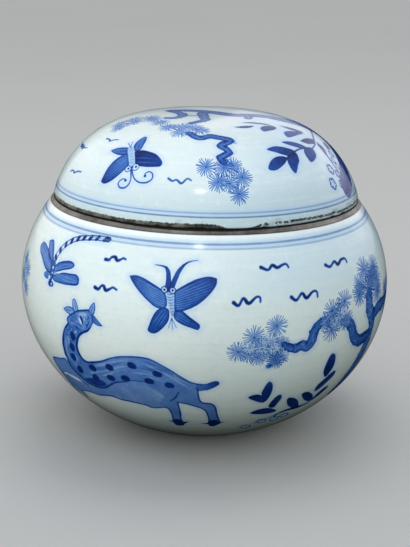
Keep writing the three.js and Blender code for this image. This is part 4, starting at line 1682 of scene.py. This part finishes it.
def band_metal_material():
    """Thin brass strip, dulled to a taupe grey, with fine scratches and darker seams, which are partly dirt
    and partly painted shade.
    """
    material, nodes, shader, here = new_material("aged_band_brass")
    cloud = nodes.grain(here, 60.0, 4.0, 0.6)
    fine = nodes.grain(here, 500.0, 4.0, 0.7)
    scratch = nodes.spread(nodes.long_grain(here, (900.0, 900.0, 5200.0)), 0.62, 0.72)
    colour = nodes.colour_steps(nodes.plus(cloud, nodes.swing(fine, 0.4)), (
        (0.3, (0.115, 0.103, 0.093)),
        (0.5, (0.225, 0.208, 0.19)),
        (0.7, (0.35, 0.33, 0.305)),
    ))
    colour = nodes.mix(nodes.times(scratch, 0.35), colour, scratched_brass)
    # Dirt and painted shade: darkest under the cover's edge and deepest at the front, with a darker line
    # along the band's foot, and least on the flat seat
    axes = nodes.axes(here)
    drop = nodes.less(seat_height * MM, axes["Z"])
    to_right = nodes.over(axes["X"], 45, 5, 0.4, 1.0)
    to_left = nodes.over(axes["X"], -50, -15, 0.4, 1.0)
    drop = nodes.calc("DIVIDE", drop, nodes.calc("MINIMUM", to_left, to_right))
    upper = nodes.over(nodes.scaled(fine, 0.3 * MM, drop), 1.15, 0.85)
    lower = nodes.over(axes["Z"], band_foot + 0.55, band_foot)
    dirt_and_shade = nodes.largest(nodes.times(lower, 0.6), nodes.times(upper, 0.97))
    on_seat = nodes.over(nodes.radius(here), band_top_radius - 0.8, band_top_radius - 2.0, 0.0, 0.62)
    dirt_and_shade = nodes.times(dirt_and_shade, nodes.less(1.0, on_seat))
    nodes.feed(shader["Base Color"], nodes.mix(dirt_and_shade, colour, dirt_and_shade_black))
    nodes.feed(shader["Roughness"], nodes.plus(nodes.scaled(fine, 0.3, 0.3), nodes.times(dirt_and_shade, 0.25)))
    shader["Metallic"].default_value = 0.6
    relief = nodes.plus(nodes.times(cloud, 0.7), nodes.times(scratch, 0.2))
    nodes.feed(shader["Normal"], nodes.bump(relief, 0.25))
    return material


# Pieces

# In every profile, a point a short step before or after a corner keeps the corner's edge crisp. The scale of
# a chart is a width on the texture square over the millimetres that the width holds.

def pot_shell():
    wall = pot_wall()
    painting = paint_pot(pot_map(wall))
    shell = Shell()
    foot_run = 40.0
    foot_ring, step_ring = shell.add_skin(painting, wall.run[-1], ring_points, foot_run, flip=True)
    under_band = band_thickness + band_gap
    inside_radius = belly_radius - belly_wall
    lip_foot = lip_height - lip_depth
    lip_turn = math.acos(lip_inside_radius / inside_radius)
    inside_rise = (lip_foot - belly_height) / math.sin(lip_turn)
    upper = rounded_arc(inside_radius, belly_height, inside_rise, lip_turn, 0, 26)
    lower = rounded_arc(inside_radius, belly_height, floor_height - belly_height, 0, math.pi / 2, 40)
    lower[-1, 0] = 0
    lip = [
        (wall.radius[-1], step_height),
        (bevel_radius(step_height, under_band), step_height),
        (bevel_radius(lip_height, under_band), lip_height),
        (lip_inside_radius + lip_round, lip_height),
        (lip_inside_radius + lip_round / 4, lip_height - lip_round / 4),
        (lip_inside_radius, lip_height - lip_round),
    ]
    _, run = shell.add_rows(lip + upper.tolist() + lower[1:].tolist(), step_ring, foot_run + wall.run[-1], 1)
    foot_inside = foot_radius - foot_width
    recess_radius = foot_inside - recess_slope
    foot = [
        (foot_radius, 0),
        (foot_radius - 0.4, 0),
        (foot_inside + 0.3, 0),
        (foot_inside - 0.05, 0.15),
        (recess_radius + 0.15, base_recess - 0.4),
        (recess_radius - 0.5, base_recess),
        (12, base_recess),
        (0, base_recess),
    ]
    shell.add_rows(foot, foot_ring, 0.0, 2, outward=-1)
    strips = 4
    skin = strip_chart(strips, foot_run, FULL_TURN * belly_radius / strips, wall.run[-1], 0.76 / 310)
    inner = disc_chart((0.89, 0.12), 0.1 / 190, run, -1)
    under = disc_chart((0.89, 0.34), 0.09 / 42, 38.0, -1)
    material = painted_glaze(
        "cobalt_painted_pot_glaze", pot_tint, pot_rings, band_top_radius, pot_clay, soiled_pot_clay,
        pot_bare_mask,
    )
    return shell.build("pot_shell", (skin, inner, under), material)


def bevel_radius(height, inward):
    """The radius of the band's bevel at a height, on a face that lies inward of its outer one."""
    slant = math.hypot(band_bevel_run, band_bevel_drop)
    top = seat_height - inward * band_bevel_run / slant
    radius = band_top_radius - inward * band_bevel_drop / slant
    return radius + (top - height) * band_bevel_run / band_bevel_drop


def cover_shell():
    wall = cover_wall_outside()
    painting = paint_cover(FlatMap(wall, wall.run))
    shell = Shell()
    # The wall's last millimetres are the bare edge, in even rows that can be chipped
    bare_edge = 5.0
    skin_end = wall.run[-1] - bare_edge
    (edge_ring,) = shell.add_skin(painting, skin_end, edge_points, 0.0, flip=False)
    inside_radius = cover_radius - cover_wall
    inside_rise = cover_rise - crown_thickness
    flange_radius = mouth_radius - flange_play
    flange_inside = flange_radius - flange_thickness
    flange_round = flange_thickness / 2
    rim_runs = np.linspace(skin_end, wall.run[-1], 11)
    rim = np.column_stack([np.interp(rim_runs, wall.run, part) for part in (wall.radius, wall.height)])
    ledge_turn = math.asin((ledge_rise / inside_rise) ** (side_fullness / 2))
    inner = rounded_arc(
        inside_radius, seat_height, inside_rise, ledge_turn, math.pi / 2, 40, crown_fullness, side_fullness
    )
    inner[-1, 0] = 0
    flange_centre = (flange_inside + flange_round, flange_foot + flange_round)
    flange_end = round_corner(flange_centre, flange_round, 360, 180, 9)
    underside = [
        (cover_radius - cover_edge_chamfer - 0.1, seat_height),
        (cover_radius - 2.5, seat_height),
        (flange_radius + 0.5, seat_height),
        (flange_radius, seat_height - 0.5),
    ]
    cove = [
        (flange_inside, seat_height + flange_cove),
        (flange_inside + flange_cove, seat_height + flange_cove * 2),
    ]
    profile = [*rim.tolist(), *underside, *flange_end.tolist(), *cove, *inner.tolist()]
    start = len(shell.points)
    _, run = shell.add_rows(profile, edge_ring, skin_end, 0, outward=-1)
    # Past the middle of the flange's inner side the faces belong to the chart of the inside
    flange_run = wall.run[-1] + 22
    for i, face in enumerate(shell.faces):
        if shell.runs[list(face)].mean() > flange_run:
            shell.charts[i] = 1
    chip_the_edge(shell, start, skin_end, wall.run[-1])
    outer = disc_chart((0.36, 0.36), 0.355 / (flange_run + 2), 0.0)
    inner_chart = disc_chart((0.86, 0.14), 0.135 / (run - flange_run + 4), run, -1)
    material = painted_glaze(
        "cobalt_painted_cover_glaze", cover_tint, cover_rings, cover_radius - 0.7 * cover_wall,
        cover_clay, soiled_cover_clay, cover_bare_mask,
    )
    return shell.build("cover_shell", (outer, inner_chart), material)


def chip_the_edge(shell, start, first_run, last_run):
    """Small chips and dips along the cover's bare edge: points move in and up, never out."""
    margin = 1.5
    fade_width = 2.5
    for i in range(start, len(shell.points)):
        depth = shell.runs[i] - first_run
        if depth < margin or shell.runs[i] > last_run + margin:
            continue
        x, y, z = shell.points[i]
        spot = Vector((x, y, z))
        rough = noise.fractal(spot * 0.55, 1.0, 2.2, 5)
        chips = max(noise.noise(spot * 0.16 + Vector((7, 3, 1))) - 0.22, 0) * 2.4
        fade = min(max((depth - margin) / fade_width, 0), 1)
        inward = (0.10 + 0.12 * rough + chips) * fade
        radius = math.hypot(x, y)
        shell.points[i, :2] *= (radius - max(inward, 0)) / radius


def rim_band():
    """The strip folded over the lip. It was bent by hand, so its skirt waves and carries small dents."""
    bevel_angle = math.degrees(math.atan2(band_bevel_run, band_bevel_drop))
    edge = band_edge_round
    outer_edge = round_corner(
        (band_top_radius - edge * math.tan(math.radians(90 - bevel_angle) / 2), seat_height - edge),
        edge, bevel_angle, 90,
    )
    inner_edge = round_corner((mouth_radius + edge, seat_height - edge), edge, 90, 180)
    lip_top = seat_height - band_thickness
    bevel_heights = np.linspace(band_foot + 0.25, seat_height - 0.55, 7)
    skirt_outside = mouth_radius + band_thickness
    skirt_round = 0.2
    profile = [
        (bevel_radius(band_foot, band_thickness) + 0.05, band_foot),
        (band_low_radius - 0.28, band_foot),
        (band_low_radius - 0.08, band_foot + 0.07),
        *[(bevel_radius(height, 0), height) for height in bevel_heights],
        *outer_edge.tolist(),
        (band_top_radius - 2.4, seat_height),
        (mouth_radius + 2.2, seat_height),
        *inner_edge.tolist(),
        (mouth_radius, band_skirt_foot + skirt_round),
        (mouth_radius + skirt_round, band_skirt_foot),
        (skirt_outside - 0.15, band_skirt_foot),
        (skirt_outside, band_skirt_foot + 0.15),
        (skirt_outside, lip_top),
        (bevel_radius(lip_top, band_thickness), lip_top),
    ]
    shell = Shell()
    first = shell.add_ring(*profile[0], edge_points, 0.0)
    last, run = shell.add_rows(profile, first, 0.0, 0)
    shell.add_faces(quads(last, first), 1)
    dent_the_band(shell)
    strips = 8
    outer = strip_chart(strips, 0.0, FULL_TURN * band_low_radius / strips, run + 2, 1 / 150, gap=1.0)
    inner = disc_chart((0.94, 0.94), 0.0005, 0.0)
    return shell.build("rim_band", (outer, inner), band_metal_material())


def dent_the_band(shell):
    """Shallow dents in the outer skirt, and the lap where the strip's two ends meet at the back."""
    lap_turn = math.radians(158)
    lap_half = math.radians(2.6)
    lap_height = 0.22
    inset = 0.1
    for i, (x, y, z) in enumerate(shell.points):
        radius = math.hypot(x, y)
        if radius < band_top_radius - 0.3 or z > seat_height - 0.3 or z < band_foot + 0.02:
            continue
        spot = Vector((x, y, z))
        dent = 0.10 * noise.fractal(spot * 0.09, 1.0, 2.0, 3) + 0.05 * noise.noise(spot * 0.6)
        turn = math.atan2(x, -y)
        away = abs((turn - lap_turn + math.pi) % FULL_TURN - math.pi)
        lap = lap_height if away < lap_half else 0.0
        skirt = min((seat_height - z) / band_bevel_drop * 2, 1)
        shell.points[i, :2] *= (radius - inset * skirt + (dent * 0.6 + lap * 0.5) * skirt) / radius


pot_piece = pot_shell()
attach(pot_piece, "pot")
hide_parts("pot_body")

band_piece = rim_band()
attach(band_piece, "pot")
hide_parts("mouth_band")

cover_piece = cover_shell()
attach(cover_piece, "cover")
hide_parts("cover")


# Floor, light and camera

def pale_floor():
    half = 14.0
    corners = [(-half, -half, 0), (half, -half, 0), (half, half, 0), (-half, half, 0)]
    mesh = bpy.data.meshes.new("pale_floor")
    mesh.from_pydata(corners, [], [(0, 1, 2, 3)])
    material, nodes, shader, here = new_material("pale_floor_paint")
    cloud = nodes.grain(here, 3.0, 2.0)
    nodes.feed(shader["Base Color"], nodes.mix(cloud, (0.88, 0.88, 0.875, 1), (0.92, 0.92, 0.915, 1)))
    shader["Roughness"].default_value = 0.75
    mesh.materials.append(material)
    floor = add_object("pale_floor", mesh)
    floor.visible_diffuse = False
    floor.visible_glossy = False
    return floor


def soft_light(name, place, width, height, power, colour=(1, 1, 1), glint=False, on_floor=False):
    """A softbox that faces the pot. Only one with a glint is mirrored in the glaze, and only one that
    stands high enough to light the floor evenly shines on it."""
    aim = Vector((0, 0, 0.1))
    light = bpy.data.lights.new(name, "AREA")
    light.shape = "RECTANGLE"
    light.size = width
    light.size_y = height
    light.energy = power
    light.color = colour
    lamp = add_object(name, light)
    lamp.location = place
    lamp.rotation_euler = (aim - Vector(place)).to_track_quat("-Z", "Y").to_euler()
    lamp.visible_camera = False
    lamp.visible_glossy = glint
    if not on_floor:
        lamp.light_linking.receiver_collection = pot_pieces


def studio_air(above, below):
    """Even light from all round above the floor, and a plain pale backdrop where the camera looks past it."""
    world = bpy.data.worlds.new("studio_air")
    world.use_nodes = True
    nodes = Nodes(world.node_tree)
    background = world.node_tree.nodes["Background"].inputs
    background["Color"].default_value = (0.97, 0.99, 1.0, 1)
    up = nodes.axes(nodes.add("TexCoord", {})["Generated"])["Z"]
    seen = nodes.add("LightPath", {})["Is Camera Ray"]
    lit = nodes.spread(up, 0.0, 0.3, below, above)
    shown = nodes.spread(up, 0.0, 0.5, 0.46, 0.56)
    nodes.feed(background["Strength"], nodes.blend(seen, lit, shown))
    bpy.context.scene.world = world


def photo_camera():
    """The camera of the photograph: a little above the pot, with the picture tilted slightly."""
    distance = 0.650
    elevation = math.radians(15.811)
    tilt = math.radians(1.148)
    aim = Vector((0.3 * MM, 0, 76.5 * MM))
    picture_height = 547
    focal_pixels = 1236.95
    sensor = 36.0
    back = Vector((0, -math.cos(elevation), math.sin(elevation)))
    right = Vector((1, 0, 0))
    up = back.cross(right)
    tilted_right = right * math.cos(tilt) + up * math.sin(tilt)
    tilted_up = up * math.cos(tilt) - right * math.sin(tilt)
    turn = Matrix((tilted_right, tilted_up, back)).transposed()
    lens = bpy.data.cameras.new("photo_camera")
    lens.sensor_width = sensor
    lens.lens = focal_pixels * sensor / picture_height
    lens.clip_start = 0.01
    camera = add_object("photo_camera", lens)
    camera.matrix_world = Matrix.Translation(aim + back * distance) @ turn.to_4x4()
    bpy.context.scene.camera = camera


pot_pieces = bpy.data.collections.new("pot_pieces")
for piece in (pot_piece, band_piece, cover_piece):
    pot_pieces.objects.link(piece)
pale_floor()
# Each softbox: its place, width, height and power, and its colour
soft_light("front_softbox", (-0.2, -1.2, 0.95), 0.7, 0.5, 6.5, (0.7, 0.8, 1.0))
soft_light("front_left_softbox", (-1.1, -1.1, 0.42), 0.8, 0.8, 5.5, (0.88, 1.0, 1.0))
soft_light("left_softbox", (-1.4, -0.4, 0.62), 0.7, 0.5, 8, (1.0, 0.98, 0.84))
soft_light("low_right_softbox", (0.9, -1.2, 0.22), 0.7, 0.4, 4.3, (0.9, 1.0, 0.8))
soft_light("right_softbox", (1.5, 0.1, 0.42), 0.8, 0.8, 2.2, (0.5, 0.72, 1.0))
soft_light("top_softbox", (0.1, 0.4, 1.5), 1.0, 0.8, 2.8, (0.97, 1.0, 1.0), on_floor=True)
soft_light("back_softbox", (0.65, 1.2, 0.72), 1.5, 0.9, 2.3, (1.0, 0.95, 1.0), glint=True)
soft_light("right_rim_softbox", (1.3, 0.95, 0.5), 1.4, 0.9, 2.7, (1.0, 0.94, 1.0), glint=True)
soft_light("left_rim_softbox", (-1.3, 0.95, 0.5), 1.4, 0.9, 2.7, (1.0, 0.94, 0.96), glint=True)
soft_light("small_lamp", (-0.07, -0.74, 1.05), 0.1, 0.04, 0.9, glint=True)
studio_air(0.5, 0.0)
bpy.context.scene.view_settings.view_transform = "Standard"
photo_camera()
